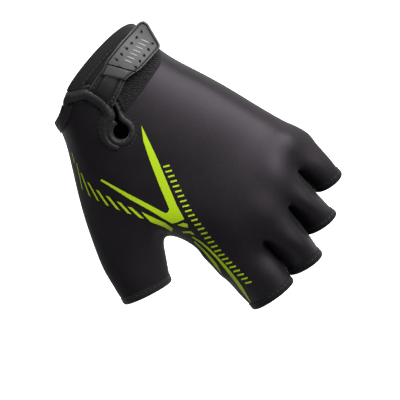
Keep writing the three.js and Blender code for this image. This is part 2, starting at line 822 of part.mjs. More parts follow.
// A layer over or under the back near the wrist, and the same running on out of the wrist's opening.
const nearWrist = ({ corners, panel }, points) =>
  panel === BACK && corners.every((i) => points[i].x < slitReach * bodyLength);
function layer(source, low, high) {
  const faces = source.mesh.faces.filter((face) => nearWrist(face, source.mesh.points));
  return wallSolid(source.mesh, source.normals, faces, low, high, 0);
}
const longer = lengthened(surface, normals, wristRim, cuffWidth);
const overBack = (low, high) => layer({ mesh: surface, normals }, low, high);
const throughBack = (low, high) => layer(longer, low, high);

// The back, with its slit.
const back = wallSolid(surface, normals, facesOf(BACK), -backWall, 0, seamGap);
addNode("back_panel", back.subtract(keyhole(0).intersect(aboveMiddle)), colours.back, 0.7);

const palm = wallSolid(surface, normals, facesOf(PALM), -palmWall, 0, seamGap);
addNode("palm_panel", palm, colours.palm, 0.9);

// The bindings at the openings.
const boundRim = (start, section) => rimBinding(surface, normals, start, section);
const thumbRim = rimNear(fromShares(thumbSections.at(-1).centre));

const flapEdge = slitHalfWidth + flapBindingWidth;
const eyeletEdge = slitHalfWidth + eyeletBindingWidth;
const cuffEnds = alongSlit(-flapEdge - clearance, eyeletEdge + clearance);
addNode(
  "cuff_band",
  boundRim(wristRim, foldedSection).subtract(cuffEnds.intersect(aboveMiddle)),
  colours.binding,
  0.8,
);
addNode("hem_thumb", boundRim(thumbRim, hemSection), colours.binding, 0.8);
for (const finger of fingers)
  addNode("hem_" + finger.name, boundRim(rimNear(finger.tip), hemSection), colours.binding, 0.8);

// The slit's bindings are folded over its edge. The flap's own is a thick roll.
const folded = (outline, top) =>
  overBack(-backWall - reach, top)
    .intersect(outline.subtract(keyhole(-reach)).intersect(aboveMiddle))
    .subtract(throughBack(-backWall - clearance, clearance).subtract(keyhole(-clearance)));
const flapOutline = alongSlit(-flapEdge, -clearance)
  .add(roundEnd(flapBindingWidth).intersect(thumbSideOfSlit(0)))
  .subtract(roundEnd(eyeletBindingWidth + clearance));
const eyeletOutline = alongSlit(clearance, eyeletEdge).add(roundEnd(eyeletBindingWidth));
addNode("flap_binding", folded(flapOutline, flapRoll), colours.binding, 0.8);
addNode("eyelet_binding", folded(eyeletOutline, reach), colours.binding, 0.8);

// The pile patch, the strap over it and the tab on top.
const patch = overBack(clearance, clearance + pileThickness)
  .intersect(column(outlineAt(patchOutline)).intersect(aboveMiddle))
  .subtract(keyhole(eyeletBindingWidth + clearance).add(thumbSideOfSlit(0)));
addNode("pile_patch", patch, colours.pile, 1);
const strapStart = thumbSideOfSlit(reach + clearance - slitHalfWidth);
const strap = bentBand(0, strapThickness).intersect(column(outlineAt(strapOutline)));
addNode("strap", strap.subtract(strapStart), colours.strap, 0.5);
addNode("pull_tab", tabSolid(strapThickness + clearance), colours.tab, 0.6);

glove.updateMatrixWorld(true);
export default glove;
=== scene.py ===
# A short-finger cycling glove, the left one of a pair, in the shape that it takes when it is worn.
# Its fabric, bindings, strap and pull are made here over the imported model, in the model's own frame.
# Blender's lengths are metres. Everything below is worked out in millimetres and scaled when a mesh is
# made. +X runs along the fingers, +Y towards the little finger and +Z out of the back.
import math

import bmesh
import bpy
import numpy as np
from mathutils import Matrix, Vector
from mathutils.bvhtree import BVHTree
from mathutils.geometry import delaunay_2d_cdt


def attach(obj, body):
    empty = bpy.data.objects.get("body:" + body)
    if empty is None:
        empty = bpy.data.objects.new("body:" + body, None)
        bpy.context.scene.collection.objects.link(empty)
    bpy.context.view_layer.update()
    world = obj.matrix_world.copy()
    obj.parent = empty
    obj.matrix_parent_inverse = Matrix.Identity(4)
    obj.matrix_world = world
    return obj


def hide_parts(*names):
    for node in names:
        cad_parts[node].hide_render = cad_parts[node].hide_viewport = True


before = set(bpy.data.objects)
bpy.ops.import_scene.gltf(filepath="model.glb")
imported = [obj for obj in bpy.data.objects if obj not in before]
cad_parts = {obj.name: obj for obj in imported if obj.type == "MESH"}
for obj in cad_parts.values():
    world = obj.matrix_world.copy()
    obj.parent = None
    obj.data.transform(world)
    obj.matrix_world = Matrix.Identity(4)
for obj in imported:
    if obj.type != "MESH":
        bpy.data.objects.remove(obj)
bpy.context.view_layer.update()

# ---- The view ----
# The camera looks straight down on the back, turned so that the fingers point to the lower right. The
# floor is pale and far below. The light is soft, and brighter from the little finger's side.
MM = 0.001
LOOKED_AT = (0.0867, -0.0032, 0.008)
HEIGHT_OF_CAMERA = 3.0
VIEW_WIDTH = 0.208
SENSOR_WIDTH = 36
TURN = math.radians(48)

camera_data = bpy.data.cameras.new("camera")
camera_data.sensor_width = SENSOR_WIDTH
camera_data.lens = SENSOR_WIDTH * HEIGHT_OF_CAMERA / VIEW_WIDTH
camera = bpy.data.objects.new("camera", camera_data)
camera.location = Vector(LOOKED_AT) + Vector((0, 0, HEIGHT_OF_CAMERA))
camera.rotation_euler = (0, 0, TURN)
bpy.context.scene.collection.objects.link(camera)
bpy.context.scene.camera = camera
bpy.context.scene.view_settings.view_transform = "Standard"


def soft_light(name, place, power, width):
    data = bpy.data.lights.new(name, "AREA")
    data.energy = power
    data.shape = "DISK"
    data.size = width
    light = bpy.data.objects.new(name, data)
    light.location = place
    light.rotation_euler = (Vector(LOOKED_AT) - Vector(place)).to_track_quat("-Z", "Y").to_euler()
    bpy.context.scene.collection.objects.link(light)


soft_light("key_light", (-0.25, 0.95, 0.8), 46, 1.1)
soft_light("top_light", (-0.3, 0.1, 1.3), 2, 0.6)
soft_light("low_light", (0.7, -0.7, 0.35), 1, 0.5)

world = bpy.data.worlds.new("studio")
world.use_nodes = True
world.node_tree.nodes["Background"].inputs["Color"].default_value = (1, 1, 1, 1)
world.node_tree.nodes["Background"].inputs["Strength"].default_value = 0.1
bpy.context.scene.world = world


class Shade:
    """A shader socket. Sums written on it add their Math nodes."""

    def __init__(self, tree, socket):
        self.tree = tree
        self.socket = socket

    def sum(self, operation, first, second=0.0):
        return add_node(self.tree, "ShaderNodeMath", {"operation": operation}, {0: first, 1: second})

    def __add__(self, other):
        return self.sum("ADD", self, other)

    def __sub__(self, other):
        return self.sum("SUBTRACT", self, other)

    def __rsub__(self, other):
        return self.sum("SUBTRACT", other, self)

    def __mul__(self, other):
        return self.sum("MULTIPLY", self, other)

    def __truediv__(self, other):
        return self.sum("DIVIDE", self, other)


def add_node(tree, kind, settings, values, output=0):
    """Adds a node: its settings are set first, then its sockets, by name or place."""
    node = tree.nodes.new(kind)
    for setting, value in settings.items():
        setattr(node, setting, value)
    inputs = [socket for socket in node.inputs if socket.enabled]
    outputs = [socket for socket in node.outputs if socket.enabled]
    for key, value in values.items():
        if isinstance(key, int):
            socket = inputs[key]
        else:
            socket = next(socket for socket in inputs if socket.name == key)
        if isinstance(value, Shade):
            tree.links.new(value.socket, socket)
        elif hasattr(socket.default_value, "__len__") and len(value) < len(socket.default_value):
            socket.default_value = (*value, 1)
        else:
            socket.default_value = value
    return Shade(tree, outputs[output])


class Finish:
    """A material, with the nodes that its surface is made of. Places are in millimetres."""

    def __init__(self, name, **constants):
        self.material = bpy.data.materials.new(name)
        self.material.use_nodes = True
        self.tree = self.material.node_tree
        self.surface = self.tree.nodes["Principled BSDF"]
        for key, value in constants.items():
            self.surface.inputs[key.replace("_", " ").title().replace("Ior", "IOR")].default_value = value
        place = self.add("ShaderNodeTexCoord", {}, {}, output=3)
        in_millimetres = {"Vector": place, "Scale": 1 / MM}
        self.place = self.add("ShaderNodeVectorMath", {"operation": "SCALE"}, in_millimetres)

    def add(self, kind, settings, values, output=0):
        return add_node(self.tree, kind, settings, values, output)

    def speckle(self, size, detail=2.0, roughness=0.5):
        """Even noise from 0 to 1, with features of that many millimetres."""
        values = {"Vector": self.place, "Scale": 1 / size, "Detail": detail, "Roughness": roughness}
        return self.add("ShaderNodeTexNoise", {}, values)

    def part_of_place(self, axis):
        return self.add("ShaderNodeSeparateXYZ", {}, {"Vector": self.place}, output=axis)

    def tape(self, axis):
        """Millimetres along (0) or across (1) a swept tape."""
        uv = self.add("ShaderNodeUVMap", {"uv_map": "tape"}, {})
        return self.add("ShaderNodeSeparateXYZ", {}, {"Vector": uv}, output=axis)

    def wave(self, along, pitch):
        """Ridges from 0 to 1, that many millimetres apart."""
        turn = along * (2 * math.pi / pitch)
        return self.add("ShaderNodeMath", {"operation": "SINE"}, {0: turn}) * 0.5 + 0.5

    def knit(self):
        """The fabric's fine knit, from 0 to 1."""
        sloping = self.part_of_place(1) + self.part_of_place(2) * 0.7
        return self.wave(sloping, 0.62) * self.wave(self.part_of_place(0), 0.5)

    def blend(self, share, first, second):
        values = {"Factor": share, "A": first, "B": second}
        return self.add("ShaderNodeMix", {"data_type": "RGBA"}, values)

    def dye(self, share, dark, light, roughness):
        """Sets the roughness, and a colour between two by a share."""
        self.set("Base Color", self.blend(share, srgb(*dark), srgb(*light)))
        self.set("Roughness", roughness)

    def set(self, name, shade):
        self.tree.links.new(shade.socket, self.surface.inputs[name])

    def raise_by(self, height, millimetres, strength=1.0):
        """Bumps the surface by a height from 0 to 1."""
        values = {"Height": height, "Distance": millimetres * MM, "Strength": strength}
        self.set("Normal", self.add("ShaderNodeBump", {}, values))


def plain_finish(name, size, detail, dark, light, roughness, bump, strength=1.0, **constants):
    """A finish with one noise in its colour, roughness (least and range) and bumps."""
    finish = Finish(name, **constants)
    spots = finish.speckle(size, detail)
    finish.dye(spots, dark, light, spots * roughness[1] + roughness[0])
    finish.raise_by(spots, bump, strength)
    return finish


def srgb(*parts):
    """A colour whose parts run from 0 to 255, for a shader."""
    return tuple(c / 255 / 12.92 if c <= 10 else ((c / 255 + 0.055) / 1.055) ** 2.4 for c in parts)


floor_finish = Finish("pale_floor", roughness=0.9, specular_ior_level=0.2, emission_strength=0.7)
floor_finish.surface.inputs["Emission Color"].default_value = (1, 1, 1, 1)
grain = floor_finish.speckle(12, detail=3)
floor_finish.set("Base Color", floor_finish.blend(grain, srgb(250, 250, 249), srgb(244, 244, 243)))
bpy.ops.mesh.primitive_plane_add(size=6, location=(0.09, 0, -0.35))
floor = bpy.context.object
floor.name = "floor"
floor.data.materials.append(floor_finish.material)

# ---- Body form ----
# The glove's outer surface, which the fabric, the seams and every trim below are laid on: rings of
# points from the wrist to the fingers, rounded off, with the dents and rises that wear gives it.
LENGTH, WIDTH, THICKNESS = 125, 82, 40
BACK, PALM = 0, 1
BODY_SECTIONS = [  # thumb side, little finger side, rise, drop, fold beside the thumb (degrees)
    ((0.052, -0.395, -0.05), (-0.028, 0.395, -0.05), 0.48, 0.45, 124),
    ((0.118, -0.415, -0.08), (0.032, 0.402, -0.05), 0.48, 0.48, 124),
    ((0.215, -0.494, -0.15), (0.155, 0.424, -0.06), 0.5, 0.52, 123),
    ((0.32, -0.588, -0.23), (0.285, 0.506, -0.08), 0.54, 0.56, 122),
    ((0.43, -0.676, -0.3), (0.415, 0.577, -0.09), 0.57, 0.56, 120),
    ((0.54, -0.748, -0.36), (0.55, 0.636, -0.1), 0.58, 0.54, 118),
    ((0.645, -0.812, -0.4), (0.67, 0.694, -0.11), 0.58, 0.5, 116),
]
PALM_SECTIONS = [  # thumb side, little finger side, rise, drop, back from the crotches, fan, valley
    ((0.765, -0.3, -0.12), (0.752, 0.73, -0.12), 0.52, 0.38, 0.17, 0.6, 0),
    ((0.85, -0.264, -0.05), (0.808, 0.778, -0.14), 0.49, 0.31, 0.085, 0.95, 0.01),
    ((0.925, -0.25, 0), (0.845, 0.757, -0.16), 0.43, 0.28, 0, 1, 0.04),
]
CROTCHES = [(0.93, -0.25), (0.995, 0.088), (0.955, 0.345), (0.86, 0.545), (0.83, 0.757)]
THUMB_CROTCH = (0.706, -0.35, -0.2)
THUMB_SECTIONS = [  # centre, width and height in millimetres, yaw, pitch
    ((0.738, -0.624, -0.4), 31.9, 27, -13, -8),
    ((0.785, -0.657, -0.44), 29.6, 24.3, -15, -8),
    ((0.833, -0.68, -0.47), 26.6, 22.5, -15, -8),
]
FINGERS = [  # width and height of the opening, length, yaw, pitch
    ("index", 23.8, 21.5, 29.2, -3.0, -12),
    ("middle", 19.0, 21.5, 27, -5.0, -15),
    ("ring", 18.2, 19.5, 25.2, -2.4, -18),
    ("little", 15.3, 17.5, 19.5, -0.2, -20),
]
STALL_SECTIONS = [(0.24, 0.02, 0), (0.6, 0.22, 0.8), (1, 1, 1)]  # along, taper, lean
LEAN = 0.28
WRIST_BOW = 0.053  # how far the back's wrist edge bows out, as a share of the length
SIDE_INSET = 0.018  # of the palm's outermost columns, as a share of the width
ROOT_OVERLAP = 0.1  # of neighbouring stalls at their roots
COLUMNS, THUMB_COLUMNS, FINGER_COLUMNS = 12, 4, 9

cage_points, cage_faces, cage_panels = [], [], []


def put(point):
    cage_points.append(np.array(point, float))
    return len(cage_points) - 1


def shares(point):
    """A point given in shares of the glove's size, in millimetres."""
    return np.array(point) * (LENGTH, WIDTH, THICKNESS)


def join_all(rings, palm_faces):
    """Adds the faces between each ring and the next, and notes whose panel they are."""
    for near, far in zip(rings, rings[1:]):
        for k, corner in enumerate(near):
            after = (k + 1) % len(near)
            cage_faces.append((corner, far[k], far[after], near[after]))
            cage_panels.append(PALM if k in palm_faces else BACK)


def dome(share):
    """How full a section's height is, at a share of its width."""
    return max(0, 1 - (2 * share - 1) ** 2) ** 0.44


def smoothstep(value, low, high):
    share = np.clip((value - low) / (high - low), 0, 1)
    return share * share * (3 - 2 * share)


def body_ring(section, at_wrist):
    """A ring round the body: its thumb side, its top row, its little finger's side, its bottom row."""
    thumb, little, rise, drop, fork = section
    thumb, little = shares(thumb), shares(little)

    def row(height):
        row_points = []
        for column in range(1, COLUMNS + 1):
            past = (column - THUMB_COLUMNS) / (COLUMNS + 1 - THUMB_COLUMNS)
            angle = 180 + (fork - 180) * column / THUMB_COLUMNS if past <= 0 else fork * (1 - past)
            share = (1 + math.cos(math.radians(angle))) / 2
            point = thumb + (little - thumb) * share
            point[2] += height * THICKNESS * dome(share)
            if at_wrist and height > 0:
                point[0] -= WRIST_BOW * LENGTH * smoothstep(share, 0.02, 0.26) * dome(share)
            row_points.append(put(point))
        return row_points

    return put(thumb), row(rise), put(little), row(-drop)


def palm_ring(section):
    """The same past the thumb, where the columns fan out to the fingers' crotches."""
    thumb, little, rise, drop, back, fan, valley = section
    thumb, little = shares(thumb), shares(little)

    def row(height):
        row_points = []
        for column in range(FINGER_COLUMNS):
            angle = math.pi * (1 - (column + 1) / (FINGER_COLUMNS + 1))
            line = (np.array(CROTCHES[column // 2]) + CROTCHES[-(-column // 2)]) / 2
            inset = {0: SIDE_INSET, FINGER_COLUMNS - 1: -SIDE_INSET}.get(column, 0)
            line_share = ((line[1] + inset) * WIDTH - thumb[1]) / (little[1] - thumb[1])
            share = (1 - fan) * (1 + math.cos(angle)) / 2 + fan * line_share
            point = thumb + (little - thumb) * share
            point[0] += ((line[0] - back) * LENGTH - point[0]) * fan
            at_valley = column % 2 == 0 and 0 < column < FINGER_COLUMNS - 1
            point[2] += height * THICKNESS * dome(share)
            point[2] -= math.copysign(valley * THICKNESS, height) if at_valley else 0
            row_points.append(put(point))
        return row_points

    return put(thumb), row(rise), put(little), row(-drop)


def stall_way(yaw, pitch):
    """The unit way along a stall, from its yaw and pitch in degrees."""
    yaw, pitch = math.radians(yaw), math.radians(pitch)
    return np.array((math.cos(pitch) * math.cos(yaw), math.cos(pitch) * math.sin(yaw), math.sin(pitch)))


def stall_ring(centre, yaw, pitch, width, height, lean, count):
    """A ring of that many points round a finger's or the thumb's stall."""
    across = np.array((-math.sin(math.radians(yaw)), math.cos(math.radians(yaw)), 0))
    up = np.cross(stall_way(yaw, pitch), across)
    # The ring is drawn larger by what the rounding takes off a polygon of that many corners.
    fit = 1 / (0.5 + 0.5 * math.cos(math.pi / count) ** 3)
    ring = []
    for k in range(count):
        angle = math.pi - 2 * math.pi * k / count
        side = (math.cos(angle) + lean * math.sin(angle)) * width / 2
        ring.append(put(centre + fit * (across * side + up * math.sin(angle) * height / 2)))
    return ring


def closed(ring):
    left, top, right, bottom = ring
    return [left, *top, right, *reversed(bottom)]


def middle(ring):
    return np.mean([cage_points[i] for i in ring], axis=0)


body_rings = [body_ring(section, k == 0) for k, section in enumerate(BODY_SECTIONS)]
join_all([closed(ring) for ring in body_rings], range(COLUMNS + 2, 2 * COLUMNS + 1))
left, top, right, bottom = body_rings[-1]
crotch = put(shares(THUMB_CROTCH))
thumb_rings = [[left, *top[:4], crotch, *reversed(bottom[:4])]]
for centre, width, height, yaw, pitch in THUMB_SECTIONS:
    thumb_rings.append(stall_ring(shares(centre), yaw, pitch, width, height, 0, 10))
join_all(thumb_rings, (6, 7, 8))
palm_rings = [(crotch, top[3:], right, bottom[3:])] + [palm_ring(section) for section in PALM_SECTIONS]
join_all([closed(ring) for ring in palm_rings], range(FINGER_COLUMNS + 2, 2 * FINGER_COLUMNS + 1))

left, top, right, bottom = palm_rings[-1]
sides = [left, *[put(middle([top[2 * k], bottom[2 * k]])) for k in (1, 2, 3)], right]
opening_centres = {"thumb": middle(thumb_rings[-1])}
for k, (name, width, height, length, yaw, pitch) in enumerate(FINGERS):
    over, under = top[2 * k : 2 * k + 3], bottom[2 * k : 2 * k + 3]
    root = [sides[k], *over, sides[k + 1], *reversed(under)]
    root_width = (CROTCHES[k + 1][1] - CROTCHES[k][1]) * WIDTH + ROOT_OVERLAP
    root_height = cage_points[over[1]][2] - cage_points[under[1]][2]
    rings = [root]
    for share, taper, lean in STALL_SECTIONS:
        centre = middle(root) + stall_way(yaw, pitch) * share * length
        size = (root_width + (width - root_width) * taper, root_height + (height - root_height) * taper)
        rings.append(stall_ring(centre, yaw, pitch, *size, lean * LEAN, 8))
    join_all(rings, (5, 6))
    opening_centres[name] = middle(rings[-1])


def link(name, mesh, *finishes):
    for finish in finishes:
        mesh.materials.append(finish.material)
    piece = bpy.data.objects.new(name, mesh)
    bpy.context.scene.collection.objects.link(piece)
    return piece


def mesh_of(name, points, faces):
    mesh = bpy.data.meshes.new(name)
    corners = [tuple(point) for point in np.array(points) * MM]
    mesh.from_pydata(corners, [], [tuple(face) for face in faces])
    mesh.polygons.foreach_set("use_smooth", [True] * len(mesh.polygons))
    return mesh


def between(here, there, count):
    """The faces between two rings of that many points, numbered from here and from there."""
    after = [*range(1, count), 0]
    return [(here + k, here + after[k], there + after[k], there + k) for k in range(count)]


def add_tube(points, faces, centres, girths, side, up, corners):
    """Adds a ring of points round each centre, and the faces between the rings."""
    first = len(points)
    for centre, girth in zip(centres, girths):
        for k in range(corners):
            angle = 2 * math.pi * k / corners
            points.append(centre + girth * (side * math.cos(angle) + up * math.sin(angle)))
    for i in range(len(centres) - 1):
        faces += between(first + i * corners, first + (i + 1) * corners, corners)


def face_outwards(mesh):
    tidy = bmesh.new()
    tidy.from_mesh(mesh)
    bmesh.ops.recalc_face_normals(tidy, faces=tidy.faces)
    tidy.to_mesh(mesh)
    tidy.free()


def with_modifiers(piece):
    """The piece's mesh as its modifiers leave it."""
    return bpy.data.meshes.new_from_object(piece.evaluated_get(bpy.context.evaluated_depsgraph_get()))


cage = link("cage", mesh_of("cage", cage_points, cage_faces))
for name in ("back", "palm"):
    cage.data.materials.append(bpy.data.materials.new("cage_" + name))
cage.data.polygons.foreach_set("material_index", cage_panels)
rounding = cage.modifiers.new("rounding", "SUBSURF")
rounding.levels = rounding.render_levels = 3
form_mesh = with_modifiers(cage)
bpy.data.objects.remove(cage)
form = np.array([vertex.co for vertex in form_mesh.vertices]) / MM
form_faces = np.array([polygon.vertices for polygon in form_mesh.polygons])
form_panels = np.array([polygon.material_index for polygon in form_mesh.polygons])


def unit(vectors):
    return vectors / np.linalg.norm(vectors, axis=-1, keepdims=True)


def normals_of(points, faces):
    corners = points[faces]
    across = np.cross(corners[:, 2] - corners[:, 0], corners[:, 3] - corners[:, 1])
    normals = np.zeros_like(points)
    for k in range(4):
        np.add.at(normals, faces[:, k], across)
    return unit(normals)


# Dents and rises: from and to in shares, reach and height in millimetres, below 0 for a dent.
FOLDS = [
    ((0.86, -0.06, 0.5), (0.88, -0.03, 0.5), 10.7, 1.1),
    ((0.9, 0.21, 0.5), (0.91, 0.22, 0.5), 9.8, 1.2),
    ((0.83, 0.44, 0.4), (0.84, 0.44, 0.4), 9.0, 1.0),
    ((0.76, 0.66, 0.25), (0.77, 0.66, 0.25), 8.2, 0.9),
    ((0.6, -0.42, 0.05), (0.69, -0.37, 0.05), 2.9, -0.9),
    ((0.89, -0.25, 0.0), (0.97, -0.255, -0.04), 5.0, 1.5),
]


def shift_along(points, normals, folds):
    shift = np.zeros(len(points))
    for start, end, reach, height in folds:
        start, end = shares(start), shares(end)
        share = np.clip((points - start) @ (end - start) / ((end - start) @ (end - start)), 0, 1)
        apart = np.linalg.norm(points - (start + share[:, None] * (end - start)), axis=1)
        shift += height * np.exp(-((apart / reach) ** 2))
    return points + normals * shift[:, None]


form = shift_along(form, normals_of(form, form_faces), FOLDS)
form_normals = normals_of(form, form_faces)
form_tree = BVHTree.FromPolygons([Vector(point) for point in form], [tuple(face) for face in form_faces])


def on_back(x, y):
    """The point of the back above a place in plan, and the way out of the fabric there."""
    place, normal, _, _ = form_tree.ray_cast(Vector((x, y, 90)), Vector((0, 0, -1)))
    if place is None:
        place, normal, _, _ = form_tree.find_nearest(Vector((x, y, 8)))
    return np.array(place), np.array(normal if normal.z > 0 else -normal)


# ---- Slit lines ----
# The slit that runs in from the wrist and ends in a round hole, seen from above in the wrist's own
# frame, which is turned a little from the fingers' line. The flap, strap and pull share that frame.
WRIST_TURN = math.radians(11.5)
UNIT = 36
SLIT = [
    (-0.3, -0.62), (-0.04, -0.44), (0.13, -0.235), (0.32, -0.185), (0.52, -0.225), (0.67, -0.315),
    (0.84, -0.455),
]
SLIT_HALF_WIDTH, HOLE_RADIUS = 1.5, 5.2


def turned(point):
    """A place in plan in the wrist's frame, in the part's."""
    c, s = math.cos(WRIST_TURN), math.sin(WRIST_TURN)
    return np.array((point[0] * c - point[1] * s, point[0] * s + point[1] * c))


def smooth_line(points, count):
    """A curve through points, as that many points."""
    points = np.array(points, float)
    points = np.vstack((2 * points[0] - points[1], points, 2 * points[-1] - points[-2]))
    line = []
    for place in np.linspace(0, len(points) - 3, count):
        k = min(int(place), len(points) - 4)
        t = place - k
        a, b, c, d = points[k : k + 4]
        line.append(b + 0.5 * t * (c - a + t * (2 * a - 5 * b + 4 * c - d + t * (3 * (b - c) + d - a))))
    return np.array(line)


def run_along(line):
    """Millimetres along a line, at each of its points."""
    return np.concatenate(([0], np.cumsum(np.linalg.norm(np.diff(line, axis=0), axis=1))))


def evenly(line, step, around=False):
    """The same line, with points an even step apart."""
    line = np.array(line, float)
    if around:
        line = np.vstack((line, line[:1]))
    run = run_along(line)
    count = max(2, round(run[-1] / step))
    places = np.linspace(0, run[-1], count + 1)
    spaced = np.array([np.interp(places, run, line[:, k]) for k in range(line.shape[1])]).T
    return spaced[:-1] if around else spaced


def leftwards(line, around=False):
    """The unit way to the left of a line in plan, at each of its points."""
    if around:
        tangent = np.roll(line, -1, axis=0) - np.roll(line, 1, axis=0)
    else:
        tangent = np.gradient(line, axis=0)
    tangent = unit(tangent)
    return np.column_stack((-tangent[:, 1], tangent[:, 0]))


slit = evenly(smooth_line(np.array(SLIT) * UNIT, 120), 0.5)
slit_left = leftwards(slit)
hole = slit[-1]
heading = math.atan2(*(slit[-1] - slit[-4])[::-1])


def round_hole(radius, start, end):
    """Points round the hole, between two angles from the slit's heading, in degrees."""
    angles = heading + np.radians(np.linspace(start, end, 60))
    return hole + radius * np.column_stack((np.cos(angles), np.sin(angles)))


def in_slit(points, grow):
    """Which of the points, in the part's frame, lie over the slit or its round end."""
    c, s = math.cos(WRIST_TURN), math.sin(WRIST_TURN)
    plan = np.column_stack((points[:, 0] * c + points[:, 1] * s, points[:, 1] * c - points[:, 0] * s))
    apart = np.min(np.linalg.norm(plan[:, None] - slit[None], axis=2), axis=1)
    return (apart < SLIT_HALF_WIDTH + grow) | (np.linalg.norm(plan - hole, axis=1) < HOLE_RADIUS + grow)


# ---- Back and palm panels ----
# The back is thin stretch fabric with a soft sheen, the palm a thicker matt suede. They are sewn
# together along the sides, between the fingers and round the stalls, and each edge rolls into the seam.
BACK_WALL, PALM_WALL = 1.0, 1.6
SEAM_OVERLAP, SEAM_SINK = 0.06, 0.5  # past the seam, and into the fabric there
SLIT_CLEARANCE = 0.9  # of the fabric's edge, which the bindings cover
WARM_SHEEN = (1, 0.9, 1, 1)  # the tint of what the fabric reflects
SHEEN_ABOVE, SHEEN_ENDS = 8, -4  # heights between which the fabric's sheen fades downwards

fabric = Finish("stretch_fabric", specular_ior_level=0.19)
fabric.surface.inputs["Specular Tint"].default_value = WARM_SHEEN
cloud = fabric.speckle(9, detail=4)
low_down = (SHEEN_ABOVE - fabric.part_of_place(2)) / (SHEEN_ABOVE - SHEEN_ENDS)
low_down = low_down.sum("MINIMUM", low_down.sum("MAXIMUM", low_down, 0), 1)
fabric.dye(cloud, (15, 13, 16), (22, 19, 23), cloud * 0.1 + low_down * 0.42 + 0.38)
fabric.raise_by(fabric.knit() + fabric.speckle(2.2) * 0.8, 0.09, 0.6)

suede = Finish("palm_suede", sheen_weight=0.12, sheen_roughness=0.6, specular_ior_level=0.15)
nap = suede.speckle(0.5, detail=5, roughness=0.7)
patches = suede.speckle(7, detail=3)
suede.dye(nap * 0.5 + patches * 0.5, (16, 16, 18), (36, 35, 37), nap * 0.1 + 0.86)
suede.raise_by(nap, 0.16, 0.8)


def seam_points():
    back = set(form_faces[form_panels == BACK].ravel())
    return back & set(form_faces[form_panels == PALM].ravel())


def inward_at_seam(faces, seam):
    """The unit way from each seam point into the panel."""
    ways = {i: np.zeros(3) for i in seam}
    for face in faces:
        for i in face:
            if i in ways:
                for j in face:
                    if j not in ways:
                        ways[i] += form[j] - form[i]
    return {i: way / max(np.linalg.norm(way), 1e-6) for i, way in ways.items()}


def panel_piece(name, panel, wall, finish, keep):
    faces = form_faces[(form_panels == panel) & keep]
    points = form.copy()
    for i, way in inward_at_seam(faces, seam).items():
        points[i] -= SEAM_OVERLAP * way + SEAM_SINK * form_normals[i]
    used, places = np.unique(faces, return_inverse=True)
    piece = link(name, mesh_of(name, points[used], places.reshape(faces.shape)), finish)
    thickness = piece.modifiers.new("wall", "SOLIDIFY")
    thickness.thickness = wall * MM
    thickness.offset = -1
    return piece


seam = seam_points()
centres = form[form_faces].mean(axis=1)
open_slit = in_slit(centres, SLIT_CLEARANCE) & (centres[:, 2] > 0) & (centres[:, 0] < LENGTH / 2)
back = panel_piece("back", BACK, BACK_WALL, fabric, ~open_slit)
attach(back, "root")
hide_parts("back_panel")
palm = panel_piece("palm", PALM, PALM_WALL, suede, np.ones(len(form_faces), bool))
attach(palm, "root")
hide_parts("palm_panel")

# ---- Finger and thumb hems ----
# Each opening's edge is turned under and stitched round, a little over two millimetres from the edge.
# The thumb's is a separate ribbed tape. A row of thread shows in the groove that it pulls.
HEM = [  # along the fabric past its edge, over its face
    (-3.7, -0.1), (-3.3, 0.42), (-2.75, 0.5), (-2.4, 0.16), (-2.05, 0.55), (-1.2, 0.72), (-0.2, 0.72),
    (0.62, 0.3), (0.8, -0.7), (0.45, -1.75), (-0.5, -2.1), (-2.2, -2.05), (-3.2, -1.5), (-3.0, -0.8),
]
HEM_SEAM = (2.4, 0.36)  # how far in from the edge the stitches lie, and how high


def rounded_section(section, times=2):
    """Cuts a closed section's corners off, again and again."""
    section = np.array(section, float)
    for _ in range(times):
        after = np.roll(section, -1, axis=0)
        ends = (0.75 * section + 0.25 * after, 0.25 * section + 0.75 * after)
        section = np.stack(ends, axis=1).reshape(-1, 2)
    return section


def softened(values, times):
    for _ in range(times):
        values = 0.25 * np.roll(values, 1, axis=0) + 0.5 * values + 0.25 * np.roll(values, -1, axis=0)
    return values


def sweep(name, path, out, away, section, finish, around=False, scale=None):
    """A section carried along a path: its first number goes the way of away, its second of out."""
    section = rounded_section(section)
    scale = np.ones((len(path), 2)) if scale is None else scale
    rings = [
        path[i] + section[:, :1] * scale[i, 0] * away[i] + section[:, 1:] * scale[i, 1] * out[i]
        for i in range(len(path))
    ]
    size, count = len(section), len(path)
    faces = []
    for i in range(count if around else count - 1):
        faces += between(i * size, (i + 1) % count * size, size)
    if not around:
        faces += [tuple(range(size))[::-1], tuple(range((count - 1) * size, count * size))]
    mesh = mesh_of(name, np.vstack(rings), faces)
    ends = np.vstack((path, path[:1])) if around else path
    run = run_along(ends)
    girth = run_along(np.vstack((section, section[:1])))
    tape = mesh.uv_layers.new(name="tape")
    for polygon in mesh.polygons:
        ring, corner = divmod(polygon.vertices[0], size)
        cap = len(polygon.vertices) > 4
        for loop, vertex in zip(polygon.loop_indices, polygon.vertices):
            i, k = divmod(vertex, size)
            i += count if around and i == 0 and ring == count - 1 and not cap else 0
            k += size if k == 0 and corner == size - 1 and not cap else 0
            tape.data[loop].uv = (run[min(i, len(run) - 1)], girth[min(k, size)])
    face_outwards(mesh)
    return link(name, mesh, finish)


def rims_of_form():
    """Each opening's edge: its points in order, the way out of the fabric and the way past the edge."""
    sides_of = {}
    for face in form_faces:
        for k in range(4):
            sides_of[(face[k], face[(k + 1) % 4])] = face[(k + 2) % 4], face[(k + 3) % 4]
    rim = {a: b for a, b in sides_of if (b, a) not in sides_of}
    loops = []
    while rim:
        start = next(iter(rim))
        loop = [start]
        while rim[loop[-1]] != start:
            loop.append(rim[loop[-1]])
        ways = [form[a] - form[sides_of[(a, rim[a])][1]] for a in loop]
        for a in loop:
            del rim[a]
        away = unit(softened(unit(np.array(ways)), 3))
        loops.append((form[loop], unit(softened(form_normals[loop], 2)), away))
    return loops


